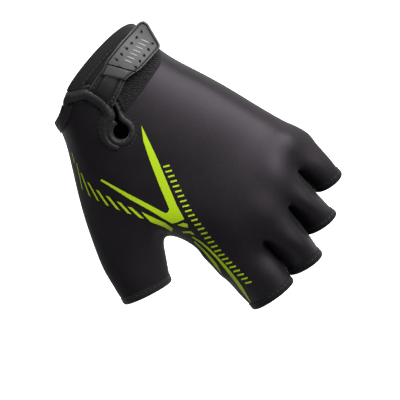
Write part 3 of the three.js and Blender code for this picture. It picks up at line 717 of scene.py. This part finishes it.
binding = Finish("binding_tape", sheen_weight=0.05, sheen_roughness=0.5, specular_ior_level=0.18)
ribs = binding.wave(binding.tape(0), 0.55)
fuzz = binding.speckle(0.8, detail=4)
binding.dye(ribs * 0.6 + fuzz * 0.4, (7, 7, 8), (18, 18, 20), fuzz * 0.15 + 0.68)
binding.raise_by(ribs * 0.8 + fuzz * 0.5, 0.16, 0.8)

# The hems' fabric is painted a little darker than the back's, as painted shade on the turned edges, which
# face down and away from the light.
hem_fabric = Finish("hem_fabric", sheen_weight=0.02, sheen_roughness=0.4, specular_ior_level=0.13)
hem_knit = hem_fabric.wave(hem_fabric.tape(0), 0.5) * hem_fabric.wave(hem_fabric.tape(1), 0.6)
puckers = hem_fabric.speckle(2.0, detail=2)
hem_fabric.dye(puckers, (10, 10, 12), (20, 19, 22), puckers * 0.1 + 0.68)
hem_fabric.raise_by(hem_knit * 0.5 + puckers, 0.14, 0.8)

thread = plain_finish(
    "thread", 0.25, 2, (22, 22, 24), (44, 44, 47), (0.5, 0.2), 0.05,
    sheen_weight=0.1, specular_ior_level=0.3,
)


def stitches(name, rows, length, gap, radius):
    """Short lengths of thread, sunk by half into the surface. A row is its points and the way out."""
    around, along = 6, 5
    points, faces = [], []
    for line, out in rows:
        run = run_along(line)
        for start in np.arange(gap, run[-1] - length, length + gap):
            a, b, up = (
                np.array([np.interp(place, run, values[:, k]) for k in range(3)])
                for place, values in ((start, line), (start + length, line), (start + length / 2, out))
            )
            ahead = unit(b - a)
            side = unit(np.cross(up, ahead))
            up = np.cross(ahead, side)
            first = len(points)
            turns = [math.pi * i / along for i in range(along + 1)]
            centres = [(a + b) / 2 - ahead * (length / 2) * math.cos(turn) for turn in turns]
            girths = [radius * (math.sin(turn) ** 0.5 + 0.05) for turn in turns]
            add_tube(points, faces, centres, girths, side, up, around)
            faces += [tuple(range(first, first + around))[::-1]]
            faces += [tuple(range(first + along * around, first + (along + 1) * around))]
    return link(name, mesh_of(name, points, faces), thread)


hem_rows = []
for path, out, away in rims_of_form():
    name = min(opening_centres, key=lambda key: np.linalg.norm(opening_centres[key] - path.mean(axis=0)))
    if path[:, 0].mean() < LENGTH / 3:
        wrist_rim = path, out, away
        continue
    hem_finish = binding if name == "thumb" else hem_fabric
    hem = sweep("hem_of_" + name, path, out, away, HEM, hem_finish, around=True)
    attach(hem, "root")
    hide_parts("hem_" + name)
    row = path - HEM_SEAM[0] * away + HEM_SEAM[1] * out
    hem_rows.append((np.vstack((row, row[:1])), np.vstack((out, out[:1]))))
hem_thread = stitches("hem_stitches", hem_rows, length=1.7, gap=0.9, radius=0.17)
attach(hem_thread, "root")

# ---- Wrist band ----
# A ribbed elastic tape folded over the edges of back and palm at the wrist, and sewn through. It stops
# at each side of the slit, under the slit's own bindings.
CUFF = [
    (-6.0, 0.15), (-6.1, 0.75), (-5.2, 0.95), (-4.7, 0.62), (-4.2, 0.98), (-2.5, 1.05), (-0.5, 1.0),
    (0.7, 0.7), (1.0, -0.8), (0.7, -2.2), (-0.5, -2.55), (-4.5, -2.5), (-6.0, -2.3), (-5.9, -1.85),
    (-2, -1.7), (0.1, -1.5), (0.25, -0.8), (0.1, 0.15), (-2, 0.25),
]
CUFF_SEAM = (4.7, 0.72)
CUFF_ENDS = (1.9, 5.4)  # how far from the slit's line it stops, on the strap's side and the flap's
CUFF_THREAD_STOPS = 6  # how far from the slit its stitches stop
CUFF_CUT = (0, 60)  # the heights between which the slit is cut out of it


def slab(points, low, high, *finishes):
    """A closed upright slab over an outline in plan, given in the wrist's frame."""
    plan = [turned(point) for point in points]
    count = len(plan)
    corners = [(x, y, z) for z in (low, high) for x, y in plan]
    faces = [tuple(range(count))[::-1], tuple(range(count, 2 * count))]
    mesh = mesh_of("cutter", corners, faces + between(0, count, count))
    face_outwards(mesh)
    return link("cutter", mesh, *finishes)


def cut(piece, cutter):
    """Takes the cutter's shape out of the piece for good. The cutter is used up."""
    taking = piece.modifiers.new("cut", "BOOLEAN")
    taking.operation = "DIFFERENCE"
    taking.solver = "EXACT"
    taking.object = cutter
    mesh = with_modifiers(piece)
    piece.modifiers.remove(taking)
    piece.data = mesh
    bpy.data.objects.remove(cutter)


path, out, away = wrist_rim
cuff = sweep("wrist_band", path, out, away, CUFF, binding, around=True)
beside = np.vstack((slit + CUFF_ENDS[0] * slit_left, (slit - CUFF_ENDS[1] * slit_left)[::-1]))
cut(cuff, slab(beside, *CUFF_CUT))
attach(cuff, "root")
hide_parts("cuff_band")
on_top = path[:, 2] > THICKNESS * 0.15
keep = np.flatnonzero(~(in_slit(path, CUFF_THREAD_STOPS) & on_top)).tolist()
gap_at = next(k for k in range(len(keep)) if keep[k] - keep[k - 1] not in (1, 1 - len(path)))
keep = keep[gap_at:] + keep[:gap_at]
row = (path - CUFF_SEAM[0] * away + CUFF_SEAM[1] * out)[keep]
cuff_thread = stitches("wrist_band_stitches", [(row, out[keep])], length=1.9, gap=0.9, radius=0.17)
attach(cuff_thread, "root")

# ---- Flap roll ----
# The flap's edge beside the slit is bound with a thick soft roll. It comes up from the wrist band,
# crosses over the strap's end, and thins out where it passes the slit's round end.
ROLL = [
    (-4.9, -0.1), (-4.8, 0.9), (-4.1, 2.0), (-2.7, 2.95), (-1.2, 3.1), (0.1, 2.7), (0.85, 1.6),
    (0.9, 0.2), (0.6, -1.0), (-0.6, -1.9), (-2.6, -1.9), (-3.6, -1.2),
]
ROLL_SEAM = (5.6, 0.1)
ROLL_STARTS = -9
ROLL_OVERHANG, OVERHANG_FADES = 2.3, (1.5, 7)  # over the slit's wrist end
ROLL_FROM_HOLE = 2.5  # how far the roll passes outside the hole
ROLL_LEAVES = 2.4  # how far from the hole it leaves the slit's line
ROLL_ROUND_HOLE = (-150, -20)  # degrees between which it bends round the hole
ROLL_THINS, THINS_FROM = (0.5, 0.62), 0.62  # what its width and height lose, from what share of its run


def over_back(line, opening_on_left):
    """Puts a line in the wrist's plan on the back, with the way out and the way into the opening."""
    side = leftwards(line) * (1 if opening_on_left else -1)
    placed = [on_back(*turned(point)) for point in line]
    path = np.array([place for place, _ in placed])
    out = np.array([normal for _, normal in placed])
    for _ in range(6):
        path[1:-1] = 0.25 * path[:-2] + 0.5 * path[1:-1] + 0.25 * path[2:]
        out[1:-1] = 0.25 * out[:-2] + 0.5 * out[1:-1] + 0.25 * out[2:]
    out = unit(out)
    flat = np.array([(*turned(way), 0) for way in side])
    away = unit(flat - out * np.sum(flat * out, axis=1, keepdims=True))
    return path, out, away


roll_fabric = Finish("roll_fabric", sheen_weight=0.08, sheen_roughness=0.4, specular_ior_level=0.25)
roll_grain = roll_fabric.speckle(0.7, detail=4)
roll_puckers = roll_fabric.wave(roll_fabric.tape(0) + roll_grain * 1.2, 2.6)
roll_fabric.dye(roll_grain, (12, 12, 13), (26, 26, 28), roll_grain * 0.15 + 0.5)
roll_fabric.raise_by(roll_grain * 0.5 + roll_puckers * 0.35, 0.25, 0.7)

from_hole = np.linalg.norm(slit - hole, axis=1) - HOLE_RADIUS
used = (from_hole > ROLL_LEAVES) & (slit[:, 0] > ROLL_STARTS)
over_band = ROLL_OVERHANG * (1 - smoothstep(slit[:, :1], *OVERHANG_FADES))
flap_line = (slit + (over_band - SLIT_HALF_WIDTH) * slit_left)[used]
flap_line = np.vstack((flap_line, round_hole(HOLE_RADIUS + ROLL_FROM_HOLE, *ROLL_ROUND_HOLE)))
flap_line = evenly(smooth_line(evenly(flap_line, 3), 200), 0.6)
path, out, away = over_back(flap_line, True)
thin = smoothstep(np.linspace(0, 1, len(path)), THINS_FROM, 1)
scale = np.column_stack([1 - loss * thin for loss in ROLL_THINS])
roll = sweep("flap_roll", path, out, away, ROLL, roll_fabric, scale=scale)
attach(roll, "root")
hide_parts("flap_binding")
row = path - ROLL_SEAM[0] * scale[:, :1] * away + ROLL_SEAM[1] * out
roll_thread = stitches("flap_stitches", [(row[4:-4], out[4:-4])], length=1.7, gap=0.9, radius=0.17)
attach(roll_thread, "root")

# ---- Slit binding ----
# A narrower folded tape along the slit's other edge and right round its hole. Inside the hole its
# turned-under edge shows as a second, lower roll.
RING = [
    (-2.6, 0.05), (-2.5, 0.7), (-1.8, 1.15), (-0.9, 1.35), (0.0, 1.2), (0.6, 0.5), (0.55, -0.4),
    (0.85, -1.0), (0.95, -1.8), (0.3, -2.4), (-0.8, -2.4), (-2.0, -2.0), (-2.2, -1.4), (-0.5, -1.2),
    (-0.4, -0.5),
]
RING_SEAM = (3.3, 0.08)
RING_STARTS = -6.5
RING_LEAVES = 0.8  # how far from the hole it leaves the slit's edge
RING_EASES = 8  # degrees that it takes to turn into the hole
RING_SLIMS, SLIMS_FROM = 0.5, (1, 5)  # what it loses along the slit, and how far from the hole

entry = math.degrees(math.asin(SLIT_HALF_WIDTH / HOLE_RADIUS))
used = (from_hole > RING_LEAVES) & (slit[:, 0] > RING_STARTS)
edge_line = (slit + SLIT_HALF_WIDTH * slit_left)[used]
edge_line = np.vstack((edge_line, round_hole(HOLE_RADIUS, 180 - entry - RING_EASES, -180 + entry)))
edge_line = evenly(smooth_line(evenly(edge_line, 1.6), 260), 0.6)
path, out, away = over_back(edge_line, False)
slim = 1 - RING_SLIMS * smoothstep(np.linalg.norm(edge_line - hole, axis=1) - HOLE_RADIUS, *SLIMS_FROM)
scale = np.column_stack((slim, slim))
ring = sweep("slit_binding", path, out, away, RING, roll_fabric, scale=scale)
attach(ring, "root")
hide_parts("eyelet_binding")
row = path - RING_SEAM[0] * slim[:, None] * away + RING_SEAM[1] * out
ring_thread = stitches("slit_stitches", [(row[10:-12], out[10:-12])], length=1.5, gap=0.9, radius=0.15)
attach(ring_thread, "root")

# ---- Pile patch ----
# A patch of short looped pile with a flat dark border, sewn on the back for the strap to close on. Its
# loops stand in rows, and they show between the strap and the border.
PATCH = [
    (0.17, -0.11), (0.165, 0.8), (0.6, 0.83), (0.72, 0.68), (0.74, 0.2), (0.715, -0.2), (0.66, -0.17),
    (0.58, -0.13), (0.46, -0.08), (0.32, -0.06),
]
PATCH_STEPS = [(0, 0.35), (0.25, 0.75), (0.9, 0.85), (1.9, 0.8), (2.3, 0.5), (3, 0.55)]
PLATE_STEP = 1.5  # between the points inside a plate


def outline_of(shape, softness=3):
    """A table's outline in the wrist's plan, evenly spaced, with its corners eased."""
    line = evenly(np.array(shape) * UNIT, 0.4, around=True)
    line = softened(line, softness * 4)
    area = np.sum(line[:, 0] * np.roll(line[:, 1], -1) - line[:, 1] * np.roll(line[:, 0], -1))
    return line if area > 0 else line[::-1]


def inside(outline, points):
    """Which of the points lie within an outline, both in plan."""
    a, b = outline, np.roll(outline, -1, axis=0)
    x, y = points[:, :1], points[:, 1:]
    rise = np.where(a[:, 1] == b[:, 1], 1, b[:, 1] - a[:, 1])
    crossing = a[:, 0] + (y - a[:, 1]) / rise * (b[:, 0] - a[:, 0])
    return np.sum(((a[:, 1] > y) != (b[:, 1] > y)) & (x < crossing), axis=1) % 2 == 1


def filled(ring, step):
    """A ring's own points and even ones inside it, and the triangles between them."""
    low, high = ring.min(axis=0) + step / 2, ring.max(axis=0)
    columns, rows = (np.arange(low[axis], high[axis], step) for axis in (0, 1))
    spots = np.array([(x, y) for x in columns for y in rows])
    if len(spots):
        clear = np.min(np.linalg.norm(spots[:, None] - ring[None], axis=2), axis=1) > step / 2
        spots = spots[inside(ring, spots) & clear]
    plan = np.vstack((ring, spots)) if len(spots) else ring
    edges = [(k, (k + 1) % len(ring)) for k in range(len(ring))]
    _, _, faces, origins, _, _ = delaunay_2d_cdt([Vector(spot) for spot in plan], edges, [], 1, 1e-5)
    return plan, [tuple(origins[i][0] for i in face) for face in faces]


def plate(name, outline, spine, under, over, lift, *finishes):
    """A closed plate over an outline. Under and over list (inset, height) from the edge inwards."""
    a, b = np.array(spine[0]) * UNIT, np.array(spine[1]) * UNIT
    share = np.clip((outline - a) @ (b - a) / ((b - a) @ (b - a)), 0, 1)
    core = a + share[:, None] * (b - a)
    way = unit(core - outline)
    # A corner's step is longer than a side's, within limits, and none goes past the plate's spine.
    square = np.clip(np.sum(way * leftwards(outline, around=True), axis=1), 0.45, 1)
    room = 0.85 * np.linalg.norm(core - outline, axis=1)
    stack = [
        (outline + way * np.minimum(inset / square, room)[:, None], height)
        for inset, height in under[::-1] + over
    ]
    size = len(outline)
    faces = []
    for i in range(len(stack) - 1):
        faces += between(i * size, (i + 1) * size, size)
    points = [lift(plan, height) for plan, height in stack]
    ends = ((0, stack[0], True), ((len(stack) - 1) * size, stack[-1], False))
    for first, (ring, height), turned_over in ends:
        plan, triangles = filled(ring, PLATE_STEP)
        added = sum(map(len, points))
        places = [*range(first, first + size), *range(added, added + len(plan))]
        if len(plan) > size:
            points.append(lift(plan[size:], height))
        for triangle in triangles:
            face = tuple(places[i] for i in triangle)
            faces.append(face[::-1] if turned_over else face)
    return link(name, mesh_of(name, np.vstack(points), faces), *finishes)


def on_fabric(plan, height):
    """Places in the wrist's plan, at a height over the fabric."""
    placed = [on_back(*turned(point)) for point in plan]
    return np.array([place + normal * height for place, normal in placed])


pile = plain_finish(
    "pile", 0.3, 3, (8, 8, 9), (34, 34, 36), (0.7, 0.2), 0.2,
    sheen_weight=0.15, sheen_roughness=0.5, specular_ior_level=0.25,
)

patch_edge = outline_of(PATCH)
patch_spine = ((0.4, 0.05), (0.4, 0.65))
patch_under = [(0, 0.1), (0.4, 0.02)]
patch = plate("pile_base", patch_edge, patch_spine, patch_under, PATCH_STEPS, on_fabric, binding)
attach(patch, "root")
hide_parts("pile_patch")

ROWS_ALONG, ROWS_ACROSS, LOOPS_INSET = (-8, 32), (3, 28), 2.6  # in the wrist's plan, from the edge
ROW_PITCH, LOOP_PITCH, LOOP_LENGTH, LOOP_FOOT, LOOP_SIZE = 1.15, 1.7, 1.5, 0.65, (0.26, 0.2)
LOOP_RISE, LOOP_LEAN = (1.1, 1.4), (0.8, 0.45)
SPOT_STRAY, LEAN_STRAY = 0.15, 0.2
LOOP_COURSE = ((0, 1), (0.5, 1.1), (1, 0.7), (1.1, 0.1))  # share of the way, girth
chance = np.random.default_rng(7)
inner_edge = evenly(patch_edge + LOOPS_INSET * leftwards(patch_edge, around=True), 2.0, around=True)
loop_rows = []
for along in np.arange(*ROWS_ALONG, ROW_PITCH):
    for across in np.arange(*ROWS_ACROSS, LOOP_PITCH):
        spot = np.array((across + 0.35 * along % 0.6, along))
        spot = spot + chance.uniform(-SPOT_STRAY, SPOT_STRAY, 2)
        if inside(inner_edge, spot[None])[0]:
            place, normal = on_back(*turned(spot))
            lean = np.array((*turned(LOOP_LEAN), 0)) + chance.uniform(-LEAN_STRAY, LEAN_STRAY, 3)
            lean = unit(lean - normal * (lean @ normal))
            end = place + normal * chance.uniform(*LOOP_RISE) + lean * LOOP_LENGTH
            loop_rows.append((place + normal * LOOP_FOOT, end, normal))
points, faces = [], []
for low, high, normal in loop_rows:
    side = unit(np.cross(high - low, normal)) * LOOP_SIZE[0]
    up = normal * LOOP_SIZE[1]
    centres = [
        low + (high - low) * share + up * 2 * math.sin(math.pi * min(share, 1))
        for share, _ in LOOP_COURSE
    ]
    add_tube(points, faces, centres, [girth for _, girth in LOOP_COURSE], side, up, 5)
loops = link("pile_loops", mesh_of("pile_loops", points, faces), pile)
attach(loops, "root")

# ---- Strap ----
# A band of smooth synthetic leather, bent over the wrist from under the flap roll to the pull. Its
# middle is padded, and each long edge has a cord piping beside a stitched border.
BEND_RADIUS, BEND_Y, BEND_TOP = 45, 2.5, 19.5
STRAP = [
    (0.115, -0.44), (0.095, -0.02), (0.08, 0.25), (0.1, 0.57), (0.14, 0.9), (0.5, 0.8), (0.53, 0.67),
    (0.515, 0.43), (0.455, 0.23), (0.48, 0.09), (0.52, -0.12), (0.56, -0.44),
]
STRAP_STEPS = [  # in from the edge, height: the piping, the border's groove, the border, the padding
    (0, 0.5), (0.1, 0.95), (0.4, 1.15), (0.7, 0.95), (0.85, 0.72), (1.05, 0.8), (2.3, 0.84), (2.55, 0.68),
    (2.85, 0.95), (3.6, 1.2),
]
PIPING_STEPS = 4
STRAP_SEAMS, SEAM_HEIGHT = (1.5, 2.25), 0.92
SEAMS_FROM, SEAMS_FACE = -8, (1, 0.15)  # where the seams start, and the way that the long edges face
STRAP_DIP, DIP_FROM, DIP_TO = 3.2, 8.2, 11.5
STRAP_THICKNESS = 1.0


def over_wrist(plan, height):
    """Places in the wrist's plan, at a height over the strap's round underside."""
    across = plan[:, 1] - BEND_Y
    up = BEND_TOP - BEND_RADIUS + np.sqrt((BEND_RADIUS + height) ** 2 - across**2)
    up -= STRAP_DIP * smoothstep(-plan[:, 1], DIP_FROM, DIP_TO)
    return np.column_stack((np.array([turned(point) for point in plan]), up))


leather = Finish("strap_leather", specular_ior_level=0.45)
tone = leather.speckle(5, detail=3)
leather_grain = leather.speckle(0.45, detail=3)
leather.dye(tone * 0.6 + leather_grain * 0.4, (10, 10, 11), (24, 24, 25), tone * 0.14 + 0.26)
leather.raise_by(leather_grain, 0.04, 0.6)

# The piping cord is lighter than the leather, and its colour is lifted further as a painted highlight
# along the strap's edges.
piping_and_highlight = plain_finish(
    "strap_piping_and_highlight", 1.2, 3, (30, 30, 31), (62, 62, 63), (0.36, 0.1), 0.04, 0.6, specular_ior_level=0.4,
)

strap_edge = outline_of(STRAP, 1)
strap_spine = ((0.32, -0.2), (0.31, 0.68))
strap_under = [(0, 0.2), (0.3, 0)]
strap_finishes = (leather, piping_and_highlight)
strap = plate(
    "strap_band", strap_edge, strap_spine, strap_under, STRAP_STEPS, over_wrist, *strap_finishes
)
for number, polygon in enumerate(strap.data.polygons):
    polygon.material_index = 1 if 0 <= number // len(strap_edge) - 1 < PIPING_STEPS else 0
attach(strap, "root")
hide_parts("strap")
strap_left = leftwards(strap_edge, around=True)
strap_rows = []
for inset in STRAP_SEAMS:
    line = strap_edge + inset * strap_left
    for side in (-1, 1):
        chosen = (strap_left @ SEAMS_FACE * side < -0.75) & (line[:, 1] > SEAMS_FROM)
        order = np.argsort(line[chosen][:, 1])
        row = over_wrist(line[chosen][order], SEAM_HEIGHT)
        strap_rows.append((row, np.tile((0, 0, 1), (len(row), 1))))
strap_thread = stitches("strap_stitches", strap_rows, length=1.3, gap=0.7, radius=0.16)
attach(strap_thread, "root")

# ---- Pull ----
# A moulded rubber pull welded on the strap's end: a plate with a raised rim, two rows of holes, a
# groove across it, and plain slanted grip bars between the rows.
TAB = [
    (0.12, 0.0), (0.06, 0.25), (0.07, 0.57), (0.105, 0.97), (0.14, 1.03), (0.215, 1.04), (0.54, 0.9),
    (0.575, 0.855), (0.565, 0.67), (0.54, 0.43), (0.475, 0.25), (0.455, 0.145),
]
TAB_END = [(0.038, -0.11), (0.593, 0.13), (0.553, 0.223), (-0.002, -0.018)]
TAB_BASE = STRAP_THICKNESS + 0.3
TAB_TOP = TAB_BASE + 1.2
HOLE_ROWS = [((0.222, 0.88), (0.185, 0.335), 6), ((0.45, 0.84), (0.465, 0.415), 5)]
HOLE_SIZE, HOLE_DEPTH = 0.62, 0.9
GROOVE = [(0.1, 0.205), (0.5, 0.36)]
GROOVE_SECTION = [(-0.42, 2), (-0.36, -0.55), (0.36, -0.55), (0.42, 2)]
TAB_STEPS = [  # in from the edge, height over TAB_TOP
    (0.02, 0.1), (0.2, 0.45), (0.55, 0.6), (0.95, 0.5), (1.2, 0.15), (1.3, -0.25), (1.5, -0.3),
    (1.62, -0.05), (1.8, 0), (2.6, 0),
]
RIM_STEPS, RIM_GROOVE_STEPS = 6, 2
CUT_TOP = 40
GRIPS, GRIP_ROW = 7, np.array([(0.325, 0.42), (0.345, 0.8)])
GRIP_REACH, GRIP_WIDTH, GRIP_HEIGHT = np.array((2.3, 0.55)), 0.42, 0.34

rubber = Finish("pull_rubber", specular_ior_level=0.32)
mould = rubber.speckle(0.35, detail=3)
shade_of_plate = rubber.speckle(6, detail=2)
rubber.dye(mould * 0.5 + shade_of_plate * 0.5, (26, 26, 28), (50, 50, 52), mould * 0.12 + 0.46)
rubber.raise_by(mould, 0.05, 0.7)

rim_rubber = plain_finish(
    "rim_rubber", 1.5, 3, (20, 20, 21), (40, 40, 41), (0.38, 0.12), 0.05, 0.6, specular_ior_level=0.4,
)

# The holes, the groove across the plate and the groove inside the rim are the plate's rubber painted near
# black, as painted shade in those hollows.
painted_shade_rubber = plain_finish(
    "painted_shade_rubber", 0.5, 2, (5, 5, 6), (14, 14, 15), (0.6, 0.1), 0.04, specular_ior_level=0.3,
)

tab_edge = outline_of(TAB, 1)
tab_under = [(0, TAB_BASE), (0.3, TAB_BASE - 0.1)]
tab_over = [(0, TAB_BASE + 0.4), *[(inset, TAB_TOP + height) for inset, height in TAB_STEPS]]
tab_spine = ((0.3, 0.33), (0.34, 0.75))
tab_finishes = (rubber, rim_rubber, painted_shade_rubber)
tab = plate("pull", tab_edge, tab_spine, tab_under, tab_over, over_wrist, *tab_finishes)
for number, polygon in enumerate(tab.data.polygons):
    step = number // len(tab_edge) - 1
    if 0 <= step < RIM_STEPS + RIM_GROOVE_STEPS:
        polygon.material_index = 1 if step < RIM_STEPS else 2

hole_cutter = bmesh.new()
for start, end, count in HOLE_ROWS:
    for share in np.linspace(0, 1, count):
        spot = (np.array(start) + (np.array(end) - start) * share) * UNIT
        angles = np.radians(np.arange(0, 360, 22.5))
        rim = spot + HOLE_SIZE * np.column_stack((np.cos(angles), np.sin(angles)))
        floor_height = float(over_wrist(spot[None], TAB_TOP - HOLE_DEPTH)[0, 2])
        drill = slab(rim, floor_height, CUT_TOP)
        hole_cutter.from_mesh(drill.data)
        bpy.data.objects.remove(drill)
drill_mesh = bpy.data.meshes.new("drills")
hole_cutter.to_mesh(drill_mesh)
hole_cutter.free()
cut(tab, link("drills", drill_mesh, painted_shade_rubber))
line = evenly(np.array(GROOVE) * UNIT, 0.8)
way = np.array([(*turned(side), 0) for side in leftwards(line)])
up = np.tile((0.0, 0, 1), (len(line), 1))
cut(tab, sweep("groove", over_wrist(line, TAB_TOP), up, way, GROOVE_SECTION, painted_shade_rubber))
end = np.array(TAB_END) * UNIT
cut(tab, slab(end, float(over_wrist(end, 0)[:, 2].min()), CUT_TOP, rubber))
easing = tab.modifiers.new("edges", "WEIGHTED_NORMAL")
easing.keep_sharp = True
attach(tab, "root")
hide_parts("pull_tab")

grip_points, grip_faces = [], []
for share in np.linspace(0, 1, GRIPS):
    centre = (GRIP_ROW[0] + (GRIP_ROW[1] - GRIP_ROW[0]) * share) * UNIT
    line = evenly((centre - GRIP_REACH, centre + GRIP_REACH), 0.5)
    spine = over_wrist(line, TAB_TOP)
    girths = np.sin(np.linspace(0, math.pi, len(line))) ** 0.35 + 0.02
    side = GRIP_WIDTH * np.array((*turned(leftwards(line)[0]), 0))
    add_tube(grip_points, grip_faces, spine, girths, side, np.array((0, 0, GRIP_HEIGHT)), 8)
light_rubber = plain_finish(
    "light_rubber", 0.8, 3, (110, 110, 112), (140, 140, 142), (0.5, 0.1), 0.04, specular_ior_level=0.4,
)
grips = link("grip_bars", mesh_of("grip_bars", grip_points, grip_faces), light_rubber)
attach(grips, "root")

# ---- Print ----
# Lime ink pressed on the back: a chevron whose two tapered arms meet by the thumb's crotch, a fan of
# slanted dashes beside it, plain ticks over the middle, and two thin stripes towards the index finger.
lime = Finish("lime_print", specular_ior_level=0.25)
wear = lime.speckle(1.2, detail=4)
lime.dye(wear, (146, 176, 8), (158, 188, 16), wear * 0.15 + 0.5)
lime.raise_by(lime.knit() * 0.6 + wear * 0.4, 0.05, 0.6)

CHEVRON = [
    (37.5, 0.1), (47, -2.6), (56.2, -5.4), (69.8, -10.2), (80.8, -14), (88.6, -15.9), (87.4, -19.8),
    (86, -22.2), (82.5, -23.4), (72.7, -26.3), (62.2, -30), (53, -32.5), (44.6, -34.9), (44.4, -33.9),
    (52.6, -31.1), (60.4, -28.3), (70.9, -24.4), (78.2, -21.8), (79.8, -21.1), (80.3, -19.8),
    (79.5, -18.2), (75.9, -16.9), (66.4, -13.6), (53.2, -8.5), (44.4, -4.6),
]
WEDGES = [
    [(70.9, -29.9), (75.8, -27.9), (83.6, -24.5), (88.4, -23.6), (88.9, -25.2), (84.9, -26.3),
     (78.2, -29.8), (74.1, -30)],
    [(88.4, -20.6), (89.6, -17.7), (91.5, -16.3), (93.2, -17.4), (91.2, -19)],
    [(92.6, -21), (95.5, -17.6), (98, -17.2), (97.6, -18.1), (95.9, -18.6), (93.6, -21.2)],
]
DASHES = [  # from, to, half width
    ((24, -36.3), (28.6, -38.8), 0.14), ((29.6, -38.1), (41.4, -44.9), 0.19),
    ((34.9, -39.8), (46.8, -44.5), 0.27), ((40.9, -40.3), (51.5, -42.8), 0.35),
    ((47.2, -39.5), (56.7, -40.8), 0.44), ((53, -37.7), (62, -38.1), 0.51),
    ((59.2, -35.3), (67.5, -35.2), 0.57), ((65, -32.8), (73.5, -32), 0.62),
]
DASH_ENDS = 1.6  # how far a dash runs past its points, in half widths
RUNNING = [  # centre line and half widths
    (
        [(98.2, -19), (104, -17.5), (111.1, -16.8), (119.3, -16.7), (131.4, -17.4), (144, -19.2)],
        (0.35, 0.5, 0.6, 0.8, 0.85, 0.15),
    ),
    (
        [(100.7, -19.8), (106.8, -19.4), (113, -19.4), (118.7, -19.8), (122.5, -20.5)],
        (0.3, 0.4, 0.55, 0.7, 0.1),
    ),
]
TICK_LINE = [(62, -4.4), (81.3, -10), (90.6, -12), (108.3, -13.7), (118.5, -14), (135.4, -13.2)]
TICK_PITCH, TICK_REACH, TICK_SLANT, TICK_HALF = 2.9, 1.5, 0.8, 0.42
INK_HEIGHT, INK_STEP = 0.09, 0.6

ink_points, ink_faces = [], []


def press(outline):
    """Fills an outline in the part's plan with ink that follows the back."""
    ring = []
    for a, b in zip(outline, np.roll(outline, -1, axis=0)):
        count = max(1, round(np.linalg.norm(b - a) / INK_STEP))
        ring += [a + (b - a) * k / count for k in range(count)]
    plan, triangles = filled(np.array(ring), 2 * INK_STEP)
    first = len(ink_points)
    for x, y in plan:
        place, normal = on_back(x, y)
        ink_points.append(place + normal * INK_HEIGHT)
    ink_faces.extend(tuple(first + i for i in triangle) for triangle in triangles)


def press_line(line, half_widths):
    """Inks a line, with a half width at each of its points."""
    line = np.array(line, float)
    left = leftwards(line)
    widths = np.array(half_widths)[:, None]
    press(np.vstack((line - left * widths, (line + left * widths)[::-1])))


press(np.array(CHEVRON))
for outline in WEDGES:
    press(np.array(outline)[::-1])
for start, end, half in DASHES:
    ahead = unit(np.subtract(end, start)) * half * DASH_ENDS
    left = np.array((-ahead[1], ahead[0])) / DASH_ENDS
    press(np.array((start - left - ahead, end - left - ahead, end + left + ahead, start + left + ahead)))
for centre_line, half_widths in RUNNING:
    line = evenly(smooth_line(centre_line, 80), 1.2)
    along = np.linspace(0, 1, len(line))
    press_line(line, np.interp(along, np.linspace(0, 1, len(half_widths)), half_widths))
for x, y in evenly(smooth_line(TICK_LINE, 200), TICK_PITCH):
    tick = [(x - TICK_SLANT, y - TICK_REACH), (x + TICK_SLANT, y + TICK_REACH)]
    press_line(tick, (TICK_HALF, TICK_HALF))
ink = link("printed_stripes", mesh_of("printed_stripes", ink_points, ink_faces), lime)
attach(ink, "root")
